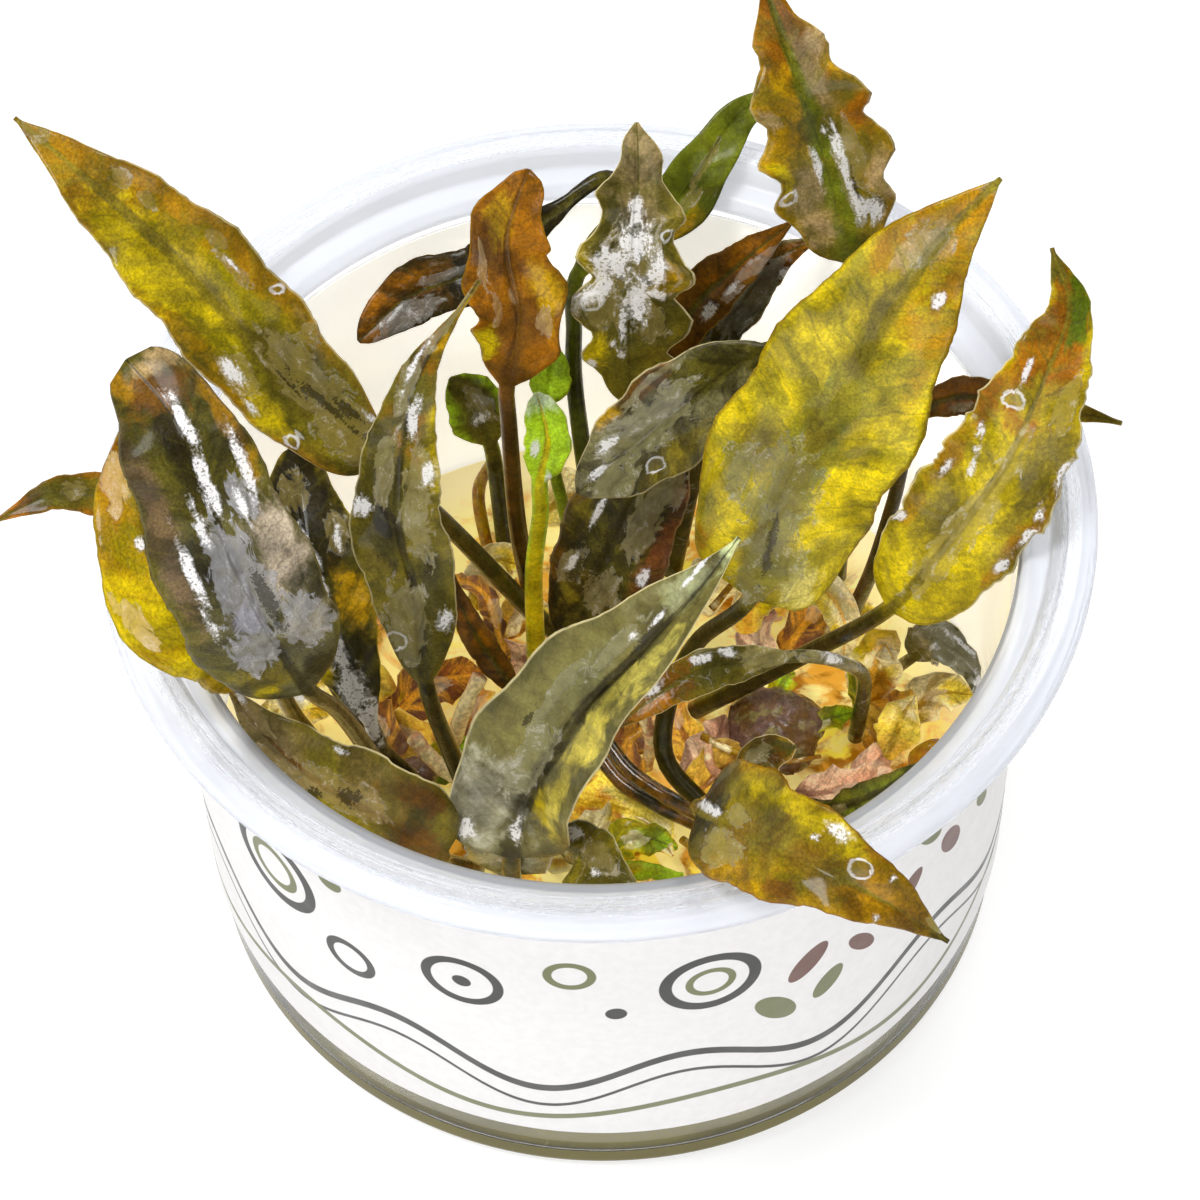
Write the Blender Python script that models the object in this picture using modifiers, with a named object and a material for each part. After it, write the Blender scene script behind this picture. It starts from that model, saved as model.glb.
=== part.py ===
"""Cryptocoryne wendtii in a shallow culture cup: a clear cup with a wrap label, a disc of gel,
and several plantlets whose leaves lean out over the rim.

Each leaf is a loft: a round stalk that turns into a thin blade with a midrib. Its route is a few
points from the foot on the gel to the tip, in millimetres from the middle of the cup's base.
The cup is seen from the front at -Y.
"""

import math

import bmesh
import bpy
from mathutils import Vector

MM = 0.001

# Cup, outer sizes first
RIM_RADIUS = 50.0
CUP_HEIGHT = 61.0
BASE_RADIUS = 42.1
NECK_RADIUS = 43.2
NECK_HEIGHT = 56.5
WALL = 0.9
FLOOR = 1.2
CORNER = 1.2
SEAT_HEIGHT = 58.2
MOUTH_RADIUS = 45.6
RIM_TOP_WIDTH = 1.2
FLANGE_THICK = 1.0
SKIRT_HEIGHT = 2.2
GAP = 0.3

# What the cup holds and wears
GEL_TOP = 14.0
MENISCUS = 0.6
LABEL_BOTTOM = 8.5
LABEL_TOP = 54.5
LABEL_THICK = 0.3

# How finely round things and leaves are cut
CUP_STEPS = 44
STALK_RINGS = 3
BLADE_RINGS = 10
SMALL_STALK_RINGS = 2
SMALL_BLADE_RINGS = 7
LEAF_COLUMNS = (1.0, 0.5, 0.0, -0.5, -1.0)
ROUND_COLUMN = 0.7071

# Leaf section, half thickness at the midrib and half way to the margin
MIDRIB = 0.42
LAMINA = 0.22
TIP_WIDTH = 0.25
STALK_RADIUS = 0.85

# The way a leaf's upper side looks when it faces the front from above
FRONT = (0.0, -0.57, 0.82)

# Colours
OLIVE = (0.20, 0.17, 0.02)
YELLOW = (0.42, 0.31, 0.01)
GREY_GREEN = (0.12, 0.12, 0.06)
ORANGE = (0.28, 0.11, 0.01)
DARK = (0.05, 0.04, 0.015)
GREEN = (0.22, 0.38, 0.01)
BROWN = (0.13, 0.05, 0.015)
OLD_YELLOW = (0.60, 0.42, 0.04)
PINK = (0.55, 0.27, 0.12)


def clear_scene():
    for old in list(bpy.data.objects):
        bpy.data.objects.remove(old)


def new_collection(name):
    collection = bpy.data.collections.new(name)
    bpy.context.scene.collection.children.link(collection)
    return collection


def material(name, colour, roughness, alpha=1.0, transmission=0.0):
    made = bpy.data.materials.new(name)
    made.use_nodes = True
    shader = made.node_tree.nodes["Principled BSDF"]
    shader.inputs["Base Color"].default_value = (*colour, 1.0)
    shader.inputs["Metallic"].default_value = 0.0
    shader.inputs["Roughness"].default_value = roughness
    shader.inputs["Alpha"].default_value = alpha
    shader.inputs["Transmission Weight"].default_value = transmission
    return made


def place(name, mesh, look, at=(0.0, 0.0, 0.0)):
    """Puts a mesh in the collection under the pot's empty, at a place in millimetres."""
    mesh.materials.append(look)
    mesh.shade_smooth()
    mesh.set_sharp_from_angle(angle=math.radians(40))
    made = bpy.data.objects.new(name, mesh)
    made.location = Vector(at) * MM
    made.parent = pot
    parts.objects.link(made)
    return made


def turned(name, profile, look, closed=False):
    """A profile of (radius, height) in millimetres, turned round the cup's axis by a Screw modifier."""
    count = len(profile)
    edges = [(i, i + 1) for i in range(count - 1)]
    if closed:
        edges.append((count - 1, 0))
    mesh = bpy.data.meshes.new(name)
    mesh.from_pydata([(radius * MM, 0.0, height * MM) for radius, height in profile], edges, [])
    made = place(name, mesh, look)
    screw = made.modifiers.new("Turn", "SCREW")
    screw.steps = CUP_STEPS
    screw.render_steps = CUP_STEPS
    screw.use_merge_vertices = True
    screw.merge_threshold = 0.00001
    screw.use_smooth_shade = True
    return made


def wall_radius(height):
    """The outer radius of the tapered wall at a height."""
    return BASE_RADIUS + (NECK_RADIUS - BASE_RADIUS) * height / NECK_HEIGHT


def cup(look):
    """Tapered wall, a seat for the lid inside the mouth, and a flange with a short skirt outside."""
    inner_base = wall_radius(FLOOR) - WALL
    inner_neck = NECK_RADIUS - WALL
    seat_outer = MOUTH_RADIUS + RIM_TOP_WIDTH
    profile = [
        (0.0, FLOOR),
        (inner_base - CORNER, FLOOR),
        (inner_base - 0.3 * CORNER, FLOOR + 0.3 * CORNER),
        (inner_base, FLOOR + CORNER),
        (inner_neck, SEAT_HEIGHT - FLANGE_THICK),
        (inner_neck + WALL, SEAT_HEIGHT),
        (MOUTH_RADIUS - 0.5, SEAT_HEIGHT + 0.4),
        (MOUTH_RADIUS, CUP_HEIGHT - 0.6),
        (MOUTH_RADIUS + 0.5 * RIM_TOP_WIDTH, CUP_HEIGHT),
        (seat_outer + 1.6, CUP_HEIGHT - 0.3),
        (RIM_RADIUS - 0.4, CUP_HEIGHT - 0.8),
        (RIM_RADIUS, CUP_HEIGHT - 1.3),
        (RIM_RADIUS, CUP_HEIGHT - SKIRT_HEIGHT),
        (RIM_RADIUS - 0.8, CUP_HEIGHT - SKIRT_HEIGHT),
        (RIM_RADIUS - 0.9, CUP_HEIGHT - 0.9 - FLANGE_THICK),
        (seat_outer, CUP_HEIGHT - 0.9 - FLANGE_THICK),
        (seat_outer - 0.4, SEAT_HEIGHT - FLANGE_THICK),
        (NECK_RADIUS, NECK_HEIGHT - 0.5),
        (wall_radius(CORNER), CORNER),
        (BASE_RADIUS - 0.3 * CORNER, 0.3 * CORNER),
        (BASE_RADIUS - CORNER, 0.0),
        (0.0, 0.0),
    ]
    return turned("cup", profile, look)


def gel(look):
    """A disc of gel on the cup's floor, with its edge drawn a little up the wall."""
    bottom = FLOOR + GAP
    wet_radius = wall_radius(GEL_TOP) - WALL - GAP
    profile = [
        (0.0, GEL_TOP),
        (wet_radius - 2.5 * MENISCUS, GEL_TOP),
        (wet_radius - 0.5 * MENISCUS, GEL_TOP + 0.4 * MENISCUS),
        (wet_radius, GEL_TOP + MENISCUS),
        (wall_radius(bottom) - WALL - GAP, bottom + CORNER),
        (wall_radius(bottom) - WALL - GAP - CORNER, bottom),
        (0.0, bottom),
    ]
    return turned("gel", profile, look)


def label(look):
    """A thin sleeve right round the wall."""
    inner = [wall_radius(height) + GAP for height in (LABEL_TOP, LABEL_BOTTOM)]
    profile = [
        (inner[0], LABEL_TOP),
        (inner[0] + LABEL_THICK, LABEL_TOP),
        (inner[1] + LABEL_THICK, LABEL_BOTTOM),
        (inner[1], LABEL_BOTTOM),
    ]
    return turned("label", profile, look, closed=True)


def curve_point(route, where):
    """A point on the smooth curve through a route, where counts its points from 0."""
    last = len(route) - 1
    start = min(int(where), last - 1)
    part = where - start
    before, first, second, after = (
        Vector(route[max(0, min(last, i))]) for i in range(start - 1, start + 3)
    )
    if start == 0:
        before = first * 2.0 - second
    if start == last - 1:
        after = second * 2.0 - first
    return 0.5 * (
        first * 2.0
        + (second - before) * part
        + (before * 2.0 - first * 5.0 + second * 4.0 - after) * part**2
        + (first * 3.0 - before - second * 3.0 + after) * part**3
    )


def even_points(route, begin, end, count):
    """Points at even steps along the smooth curve between two of the route's points, ends included."""
    fine = [curve_point(route, begin + (end - begin) * i / 100.0) for i in range(101)]
    reach = [0.0]
    for one, other in zip(fine, fine[1:]):
        reach.append(reach[-1] + (other - one).length)
    found = []
    at = 0
    for i in range(count):
        wanted = reach[-1] * i / (count - 1)
        while at < 99 and reach[at + 1] < wanted:
            at += 1
        share = (wanted - reach[at]) / (reach[at + 1] - reach[at])
        found.append(fine[at].lerp(fine[at + 1], max(0.0, min(1.0, share))))
    return found


def blend(values, share):
    """A value between the two listed values that a share from 0 to 1 falls between."""
    place_in_list = share * (len(values) - 1)
    start = min(int(place_in_list), len(values) - 2)
    return Vector(values[start]).lerp(Vector(values[start + 1]), place_in_list - start)


def section(centre, along, facing, half_width, thick, blade_share, shape):
    """One ring of a leaf: round where blade_share is 0, a thin folded blade where it is 1."""
    up = (Vector(facing) - along * Vector(facing).dot(along)).normalized()
    side = along.cross(up)
    top = []
    under = []
    for column in LEAF_COLUMNS:
        out = abs(column)
        hand = 1.0 if column > 0 else -1.0
        if out == 0.5:
            out = ROUND_COLUMN + (0.5 - ROUND_COLUMN) * blade_share
        fold = math.radians(shape["fold"][0 if column > 0 else 1]) * blade_share
        curl = math.radians(shape["curl"]) * blade_share
        lean = fold + 0.5 * curl * out
        tilt = fold + curl * out
        wave = shape["ruffle"] * blade_share * out**2 * math.sin(shape["phase"] + hand * 0.8)
        lobe = shape["lobe"] * blade_share * out * math.cos(1.31 * shape["phase"] + hand)
        reach = half_width * out * (1.0 + lobe)
        reach *= shape["sides"][0 if column > 0 else 1]
        spot = centre + side * (hand * reach * math.cos(lean)) + up * (reach * math.sin(lean) + wave)
        if abs(column) == 1.0:
            top.append(spot)
            continue
        normal = up * math.cos(tilt) - side * (hand * math.sin(tilt) * (out > 0))
        round_depth = thick * math.sqrt(1.0 - out**2)
        flat_depth = MIDRIB if column == 0 else LAMINA
        depth = round_depth + (min(flat_depth, thick) - round_depth) * blade_share
        top.append(spot + normal * depth)
        under.append(spot - normal * depth)
    return top + under[::-1]


def leaf(name, look, route, blade_from, width, widest=0.42, faces=(FRONT, FRONT), fold=(8, 8), curl=0,
         ruffle=0.5, waves=3, lobe=0.05, sides=(1, 1), ends=(0.9, 0.9), stalk=STALK_RADIUS, small=False):
    """A leaf along a route: round stalk to route point blade_from, then a blade of a full width.

    faces: the ways its upper side looks, from blade base to tip. fold and curl, in degrees: how far
    each half rises and goes on bending. sides: the right and left half's share of the half width.
    ends: how pointed the blade's base and tip are, 0.4 for round and 1.2 for drawn out.
    """
    foot = Vector(route[0])
    stalk_rings = SMALL_STALK_RINGS if small else STALK_RINGS
    blade_rings = SMALL_BLADE_RINGS if small else BLADE_RINGS
    centres = []
    if blade_from > 0:
        centres = even_points(route, 0, blade_from, stalk_rings + 1)[:-1]
    blade_start = len(centres)
    centres += even_points(route, blade_from, len(route) - 1, blade_rings)
    peak = math.log(0.5) / math.log(widest)
    rings = []
    for i, centre in enumerate(centres):
        along = (centres[min(len(centres) - 1, i + 1)] - centres[max(0, i - 1)]).normalized()
        share = max(0, i - blade_start) / (blade_rings - 1)
        power = ends[0] + (ends[1] - ends[0]) * share
        outline = max(0.0, math.sin(math.pi * share**peak)) ** power
        blade_share = min(1.0, share * BLADE_RINGS / 2.5)
        thick = stalk * (1.25 - 0.25 * min(1.0, i / (blade_start + 1)))
        least = TIP_WIDTH + (thick - TIP_WIDTH) * (1.0 - share)
        half_width = max(least, 0.5 * width * outline)
        if i == len(centres) - 1:
            thick = TIP_WIDTH
        shape = {
            "fold": fold,
            "curl": curl,
            "ruffle": ruffle * math.sin(math.pi * share),
            "lobe": lobe,
            "phase": 2.0 * math.pi * waves * share,
            "sides": sides,
        }
        rings.append(section(centre, along, blend(faces, share), half_width, thick, blade_share, shape))
    round_count = len(rings[0])
    vertices = [(spot - foot) * MM for ring in rings for spot in ring]
    polygons = [tuple(range(round_count))]
    for i in range(len(rings) - 1):
        for j in range(round_count):
            k = (j + 1) % round_count
            low = i * round_count
            high = low + round_count
            polygons.append((low + j, high + j, high + k, low + k))
    polygons.append(tuple(reversed(range(len(vertices) - round_count, len(vertices)))))
    mesh = bpy.data.meshes.new(name)
    mesh.from_pydata(vertices, [], polygons)
    return place(name, mesh, look, foot)


def crown(name, look, at, across, height, lumps):
    """A low lumpy mound of short stem and leaf bases, standing on the gel."""
    mesh = bpy.data.meshes.new(name)
    shape = bmesh.new()
    bmesh.ops.create_uvsphere(shape, u_segments=8, v_segments=5, radius=1.0)
    for vertex in shape.verts:
        turn = math.atan2(vertex.co.y, vertex.co.x)
        swell = 1.0 + lumps * math.sin(3.0 * turn + 4.0 * vertex.co.z) * (1.0 - vertex.co.z**2)
        vertex.co.x *= 0.5 * across * swell * MM
        vertex.co.y *= 0.5 * across * swell * MM
        vertex.co.z = (1.0 + vertex.co.z) * 0.5 * height * MM
    shape.to_mesh(mesh)
    shape.free()
    return place(name, mesh, look, (*at, GEL_TOP + GAP))


def strand(name, look, points, radius):
    """A root or a bare stalk: a curve with a round bevel."""
    foot = Vector(points[0])
    curve = bpy.data.curves.new(name, "CURVE")
    curve.dimensions = "3D"
    curve.bevel_depth = radius * MM
    curve.bevel_resolution = 1
    curve.resolution_u = 3
    curve.use_fill_caps = True
    spline = curve.splines.new("NURBS")
    spline.points.add(len(points) - 1)
    for knot, at in zip(spline.points, points):
        knot.co = (*((Vector(at) - foot) * MM), 1.0)
    spline.order_u = 3
    spline.use_endpoint_u = True
    curve.materials.append(look)
    made = bpy.data.objects.new(name, curve)
    made.location = foot * MM
    made.parent = pot
    parts.objects.link(made)
    return made


def left_leaves(looks):
    leaf("leaf_left_long", looks["olive"],
         [(-4, 14.5, 15), (-8, 15, 21), (-17, 14, 40), (-23, 10.5, 54), (-31.5, 15, 63), (-40, 22, 71),
          (-49, 28.5, 77), (-57.5, 35, 81)],
         blade_from=3, width=12.3, widest=0.42, fold=(4, 4), curl=10, ruffle=0.4, waves=4,
         sides=(1.08, 0.97), ends=(0.45, 0.95))
    leaf("leaf_left_low", looks["yellow"],
         [(-23, -5, 15), (-28.5, -7, 26), (-31.3, -9.5, 37), (-33, -12.6, 49), (-36.3, -18.8, 67),
          (-41.5, -17.5, 72), (-44, -10, 76), (-44.5, 0.5, 78)],
         blade_from=3, width=12, widest=0.5, faces=((0.3, -0.5, 0.8), FRONT), curl=-15, ruffle=0.3,
         ends=(1.0, 0.6))
    leaf("leaf_left_broad", looks["grey"],
         [(-20, -8, 15), (-24, -10, 31), (-26.5, -15, 47), (-29, -20.5, 60), (-32, -23, 75),
          (-35, -20, 84), (-38, -14.5, 90), (-40.5, -9.5, 92), (-44, -5, 93)],
         blade_from=3, width=15.5, widest=0.4, curl=-20, ruffle=0.6, waves=3, sides=(0.9, 1),
         ends=(0.6, 0.6))
    leaf("leaf_left_small", looks["olive"],
         [(-24, -1, 15), (-31, -1, 40), (-41.5, -1.5, 60), (-47.5, -1, 65), (-53, -1.5, 67),
          (-59.5, -4, 66)],
         blade_from=2, width=4.5, fold=(20, 10), ruffle=0.2, stalk=0.6, small=True)
    leaf("leaf_left_glossy", looks["grey"],
         [(-17, -7, 15), (-23, -6, 25), (-23.5, -8, 31), (-25.5, -6, 40), (-28, -0.5, 46), (-30, 6, 50),
          (-31, 14.5, 52)],
         blade_from=2, width=10, widest=0.6, ruffle=0.4, ends=(0.9, 0.5))
    leaf("leaf_left_upright", looks["grey"],
         [(-13, -9, 15), (-16, -8, 28), (-18, -8, 41), (-18.5, -5, 52), (-20, -1, 60), (-19, 4, 67),
          (-17, 8, 73), (-11, 13.5, 80)],
         blade_from=2, width=9.5, widest=0.38, fold=(12, 4), ruffle=0.4, waves=4, ends=(0.9, 1.6))


def middle_leaves(looks):
    leaf("leaf_orange", looks["orange"],
         [(-7, 18.5, 15), (-8.5, 18, 31), (-9, 20, 48), (-9, 21, 53), (-7.5, 23, 61), (-8.5, 27, 69),
          (-6, 31.5, 75)],
         blade_from=3, width=10, widest=0.45, fold=(15, 20), ruffle=0.7, lobe=0.12, ends=(0.6, 0.45))
    leaf("leaf_green_small", looks["green"],
         [(-7, 10, 15), (-7, 14, 28), (-6, 16, 37), (-6, 17, 41), (-5, 19, 46), (-6, 22, 50)],
         blade_from=3, width=5.2, widest=0.5, fold=(20, 20), ruffle=0.1, ends=(0.6, 0.4), small=True)
    leaf("leaf_green_young", looks["green"],
         [(-3, 28, 15), (-5, 29.5, 30), (-5, 31, 36), (-4, 34, 42)],
         blade_from=2, width=4.5, ruffle=0.1, stalk=0.6, ends=(0.6, 0.5), small=True)
    leaf("leaf_lobed", looks["grey"],
         [(4, 23, 15), (4, 23, 38), (4, 23, 46), (4, 24.5, 57), (4.5, 27, 67), (5, 30.5, 74), (5, 33, 80)],
         blade_from=2, width=11, widest=0.45, fold=(10, 10), ruffle=0.8, waves=4, lobe=0.2, ends=(0.7, 1))
    leaf("leaf_green_arching", looks["green"],
         [(0, 25, 15), (-2, 33, 34), (-2, 36, 42), (-1.5, 38, 49), (3.5, 39.5, 54), (9, 40, 58),
          (12.5, 42.5, 62), (16, 46, 65), (22.5, 48, 68)],
         blade_from=3, width=6.5, widest=0.4, ruffle=0.2)
    leaf("leaf_grey_middle", looks["grey"],
         [(21, 22, 15), (21, 19, 38), (21, 18, 58), (18, 18.5, 61), (11, 14, 60), (5, 11.2, 56),
          (-2, 9, 50)],
         blade_from=3, width=10.5, widest=0.5, ruffle=0.4, ends=(0.7, 0.6))
    leaf("leaf_dark_middle", looks["dark"],
         [(-3, 4.5, 15), (-4, 9.5, 22), (0, 10.5, 33), (3.5, 13, 42), (6.5, 17, 48), (9.5, 20, 51)],
         blade_from=1, width=12, widest=0.5, ruffle=0.6, ends=(0.7, 0.5))
    leaf("leaf_narrow_wilting", looks["olive"],
         [(27, 1, 15), (27.5, -0.5, 28), (25, -3.5, 36), (20.5, -4.5, 39), (14, -6.5, 41), (9, -8, 41),
          (5, -10, 40), (0.5, -12.5, 38)],
         blade_from=3, width=4.5, widest=0.5, ruffle=0.3, stalk=0.7)


def back_leaves(looks):
    leaf("leaf_back_tall", looks["olive"],
         [(26, 22, 15), (27, 24.5, 44), (27, 27, 56), (26.7, 29, 62), (25.4, 32, 68),
          (23.8, 34.8, 74), (22.1, 36.5, 79), (20.3, 40, 83), (18.7, 42.7, 87), (17.4, 45.5, 90)],
         blade_from=3, width=12.5, widest=0.36, fold=(14, 8), ruffle=0.7, waves=4, lobe=0.15,
         ends=(0.6, 1.2))
    leaf("leaf_back_dark", looks["dark"],
         [(6.5, 30.5, 15), (6, 32, 40), (6, 34.5, 56), (2.5, 40.5, 62), (-4, 37.5, 60), (-11.5, 33, 57),
          (-19, 32, 54), (-24.5, 28.5, 51)],
         blade_from=3, width=6.5, widest=0.7, ruffle=0.3, ends=(0.6, 0.6))
    leaf("leaf_back_brown", looks["brown"],
         [(9, 27, 15), (8.5, 28, 36), (6, 28.5, 43), (10.5, 31.5, 51), (15.5, 32, 58), (21, 32, 65)],
         blade_from=2, width=6, ruffle=0.3)
    leaf("leaf_back_grey", looks["grey"],
         [(8, 23, 15), (11, 27, 34), (10.5, 29.5, 43), (15.5, 32.5, 51), (19.5, 34, 56), (24, 34.5, 59)],
         blade_from=2, width=5.5, ruffle=0.2)
    leaf("leaf_back_left_low", looks["olive"],
         [(-10, 25, 15), (-11, 31, 24), (-11.5, 32, 28), (-13, 34, 32), (-15.5, 35.5, 35)],
         blade_from=2, width=7, ruffle=0.2, ends=(0.6, 0.5), small=True)


def right_leaves(looks):
    leaf("leaf_yellow_broad", looks["yellow"],
         [(11, -8, 15), (6.5, -4.5, 20), (7, -1.5, 27), (10, -1, 37), (15.5, -3.5, 49), (19, 1.5, 60),
          (24, 5, 70), (29.5, 10, 79), (34.5, 13.5, 85), (40, 16.5, 90)],
         blade_from=4, width=18.5, widest=0.36, fold=(4, 4), ruffle=0.4, ends=(0.35, 0.9))
    leaf("leaf_right_ruffled", looks["yellow"],
         [(10, 5, 15), (21.5, 0.5, 32), (29.5, -6, 50), (35.5, -4.5, 60), (40.5, -1.5, 68), (44, 3, 75),
          (46.5, 8, 80), (45, 12.5, 84)],
         blade_from=2, width=13, widest=0.35, fold=(5, 5), ruffle=0.8, waves=5, ends=(0.5, 0.9))
    leaf("leaf_right_curled", looks["brown"],
         [(27, 16, 15), (29, 13, 29), (31, 13.5, 41), (33, 15.5, 52), (37, 14, 58), (43, 10, 61.5),
          (49, 7, 64), (52.5, 5, 65)],
         blade_from=3, width=4.5, fold=(20, 20), ruffle=0.3, stalk=0.7)
    leaf("leaf_wilted_right", looks["dark"],
         [(31, 9, 15), (33, 5, 24), (35, 1, 33), (38, -3, 34), (39, -6, 32)],
         blade_from=1, width=5, ruffle=0.6, stalk=0.6, small=True)


def front_leaves(looks):
    leaf("leaf_front_folded", looks["grey"],
         [(-8, -17.5, 15), (-9.5, -24.5, 28), (-9.5, -26, 37), (-8.5, -24.5, 42), (-6, -23.5, 49),
          (-1.5, -21.5, 57), (3.5, -20.5, 64), (9.5, -18, 71), (13.5, -15.5, 76)],
         blade_from=2, width=13.5, widest=0.28, fold=(45, 5), ruffle=0.3, sides=(1, 1.2), ends=(0.35, 0.9))
    leaf("leaf_front_pale", looks["grey"],
         [(-10.5, -15.5, 15), (-10.5, -20, 24), (-10, -21.5, 31), (-9.5, -18.5, 37)],
         blade_from=1, width=9, ruffle=0.2, ends=(0.6, 0.4), small=True)
    leaf("leaf_front_left", looks["olive"],
         [(-14, -14.5, 15), (-17, -22, 29), (-17, -26.5, 38), (-21, -27.5, 45), (-28, -25, 49),
          (-33.3, -21.2, 52), (-37.3, -16, 53.3)],
         blade_from=2, width=10, widest=0.32, ruffle=0.4, sides=(1.15, 0.8), ends=(0.5, 0.9))
    leaf("leaf_front_low", looks["olive"],
         [(-5.5, -14, 15), (-3, -21, 27), (-3.5, -26, 36), (-2.5, -29, 41), (0.5, -33.5, 44),
          (3.5, -36.5, 45)],
         blade_from=2, width=7, ruffle=0.3, small=True)
    leaf("leaf_front_right", looks["yellow"],
         [(15, -8, 15), (12, -19, 35), (9.5, -30, 51), (9.5, -37.5, 62), (14.5, -45.5, 69),
          (20.5, -50.5, 71.5), (26, -53.2, 70), (31.5, -55, 66)],
         blade_from=3, width=12, widest=0.25, ruffle=0.4, sides=(0.85, 1.1), ends=(0.35, 0.9))
    leaf("leaf_front_right_dark", looks["green"],
         [(20, -9, 15), (21, -14, 25), (23, -18, 31), (27, -21, 38), (32, -21, 44)],
         blade_from=2, width=3.5, ruffle=0.1, small=True)
    leaf("leaf_small_curled", looks["olive"],
         [(17, -10.5, 15), (17, -14, 30), (15, -20, 40), (16, -21, 46), (19, -22, 49)],
         blade_from=2, width=4.5, ruffle=0.1, stalk=0.7, ends=(0.6, 0.4), small=True)


def old_leaves(looks):
    """Leaves that have died back and lie on the gel or droop along the wall."""
    leaf("leaf_brown_narrow", looks["brown"],
         [(-9, 6, 17), (-13, 8, 25), (-15, 10, 30), (-16, 12, 34)],
         blade_from=0, width=3.5, fold=(20, 20), ruffle=0.2, small=True)
    leaf("old_leaf_curl", looks["old_yellow"],
         [(16, 13, 16), (16, 14, 21), (19, 14, 25), (23.5, 13, 26), (26, 11, 23), (26, 9, 17)],
         blade_from=0, width=4.5, ruffle=0.3, ends=(0.4, 0.4), small=True)
    leaf("old_leaf_round", looks["old_yellow"],
         [(28, 5, 16), (29, 6, 20), (30, 6, 25), (31, 4, 25)],
         blade_from=0, width=6, ruffle=0.4, ends=(0.5, 0.5), small=True)
    leaf("old_leaf_torn", looks["old_yellow"],
         [(30, -2, 16), (31, -1, 18), (32, 0, 21), (33, 0, 24)],
         blade_from=0, width=5, ruffle=0.5, small=True)
    leaf("old_leaf_left", looks["old_yellow"],
         [(-22, 7, 16), (-26, 7, 19), (-31, 6, 20), (-35, 3, 18)],
         blade_from=0, width=6, ruffle=0.4, small=True)
    leaf("old_leaf_front", looks["old_yellow"],
         [(-5, -7, 16), (-1, -8, 17), (4, -10, 17), (7, -14, 16)],
         blade_from=0, width=8, ruffle=0.3, small=True)
    leaf("old_leaf_front_green", looks["green"],
         [(-2, -17, 16), (3, -17, 17), (8, -17, 17)],
         blade_from=0, width=3.5, ruffle=0.2, small=True)


def stalks_and_roots(looks):
    strand("stalk_front_one", looks["brown"], [(-1, -4, 22), (2, -8, 21), (7, -11, 20), (10, -11, 17)], 0.9)
    strand("stalk_front_two", looks["brown"],
           [(0, -6, 27), (3, -10, 26), (8, -13.5, 25), (10, -13, 22)], 0.8)
    strand("root_left", looks["pink"], [(-13, 4, 24), (-15, 2, 20), (-16, 1, 16)], 0.9)
    strand("root_front", looks["pink"], [(4, -1, 25), (5, -2, 20), (4.5, -2.5, 15.5)], 0.7)
    strand("root_left_front", looks["pink"], [(-20, -3.5, 24), (-18, -4.5, 21), (-15.5, -5, 18)], 0.9)
    strand("root_right", looks["pink"], [(11, -3.5, 21), (11.5, -6, 20), (15.5, -6.5, 17)], 0.5)
    strand("root_hook", looks["orange"], [(33, -5, 16), (33, -5, 20), (35, -5, 22), (36, -4, 18)], 0.8)
    strand("root_back", looks["orange"], [(-11, 36, 20), (-13, 31, 20), (-12, 25, 16)], 0.7)


def crowns(look):
    crown("crown_left", look, (-20, -3.5), 4.6, 4.0, 0.15)
    crown("crown_front", look, (-10, -12.5), 4.2, 4.0, 0.12)
    crown("crown_centre", look, (-0.8, 11), 4.2, 4.5, 0.12)
    crown("crown_back", look, (4, 27), 4.2, 4.0, 0.12)
    crown("crown_right", look, (18.5, 0.5), 10.5, 6.5, 0.10)
    crown("crown_far_right", look, (24, 19), 4.2, 4.0, 0.12)


clear_scene()
parts = new_collection("cryptocoryne_wendtii_in_cup")
pot = bpy.data.objects.new("pot", None)
parts.objects.link(pot)

cup(material("clear_plastic", (0.92, 0.94, 0.97), 0.08, transmission=1.0))
gel(material("gel", (0.42, 0.40, 0.26), 0.15))
label(material("label_paper", (0.88, 0.87, 0.85), 0.45))

looks = {
    "olive": material("leaf_olive", OLIVE, 0.18),
    "yellow": material("leaf_yellow", YELLOW, 0.2),
    "grey": material("leaf_grey_green", GREY_GREEN, 0.12),
    "orange": material("leaf_orange_brown", ORANGE, 0.15),
    "dark": material("leaf_dark", DARK, 0.1),
    "green": material("leaf_green", GREEN, 0.2),
    "brown": material("leaf_brown", BROWN, 0.2),
    "old_yellow": material("old_leaf_yellow", OLD_YELLOW, 0.3),
    "pink": material("root_pink", PINK, 0.35),
}
crowns(material("crown_brown", (0.16, 0.08, 0.06), 0.4))
left_leaves(looks)
middle_leaves(looks)
back_leaves(looks)
right_leaves(looks)
front_leaves(looks)
old_leaves(looks)
stalks_and_roots(looks)
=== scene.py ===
"""Cryptocoryne wendtii in a culture cup, dressed for a studio picture.

A clear cup with a wrap label and a disc of gel holds several plantlets, whose wet leaves lean out
over the rim. Each piece is built by an operator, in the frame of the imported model. Places and
sizes are in millimetres until piece() turns them into metres.
"""

import math

import bpy
import numpy as np
from bpy.props import FloatProperty, FloatVectorProperty, PointerProperty
from mathutils import Matrix, Vector, noise


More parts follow.
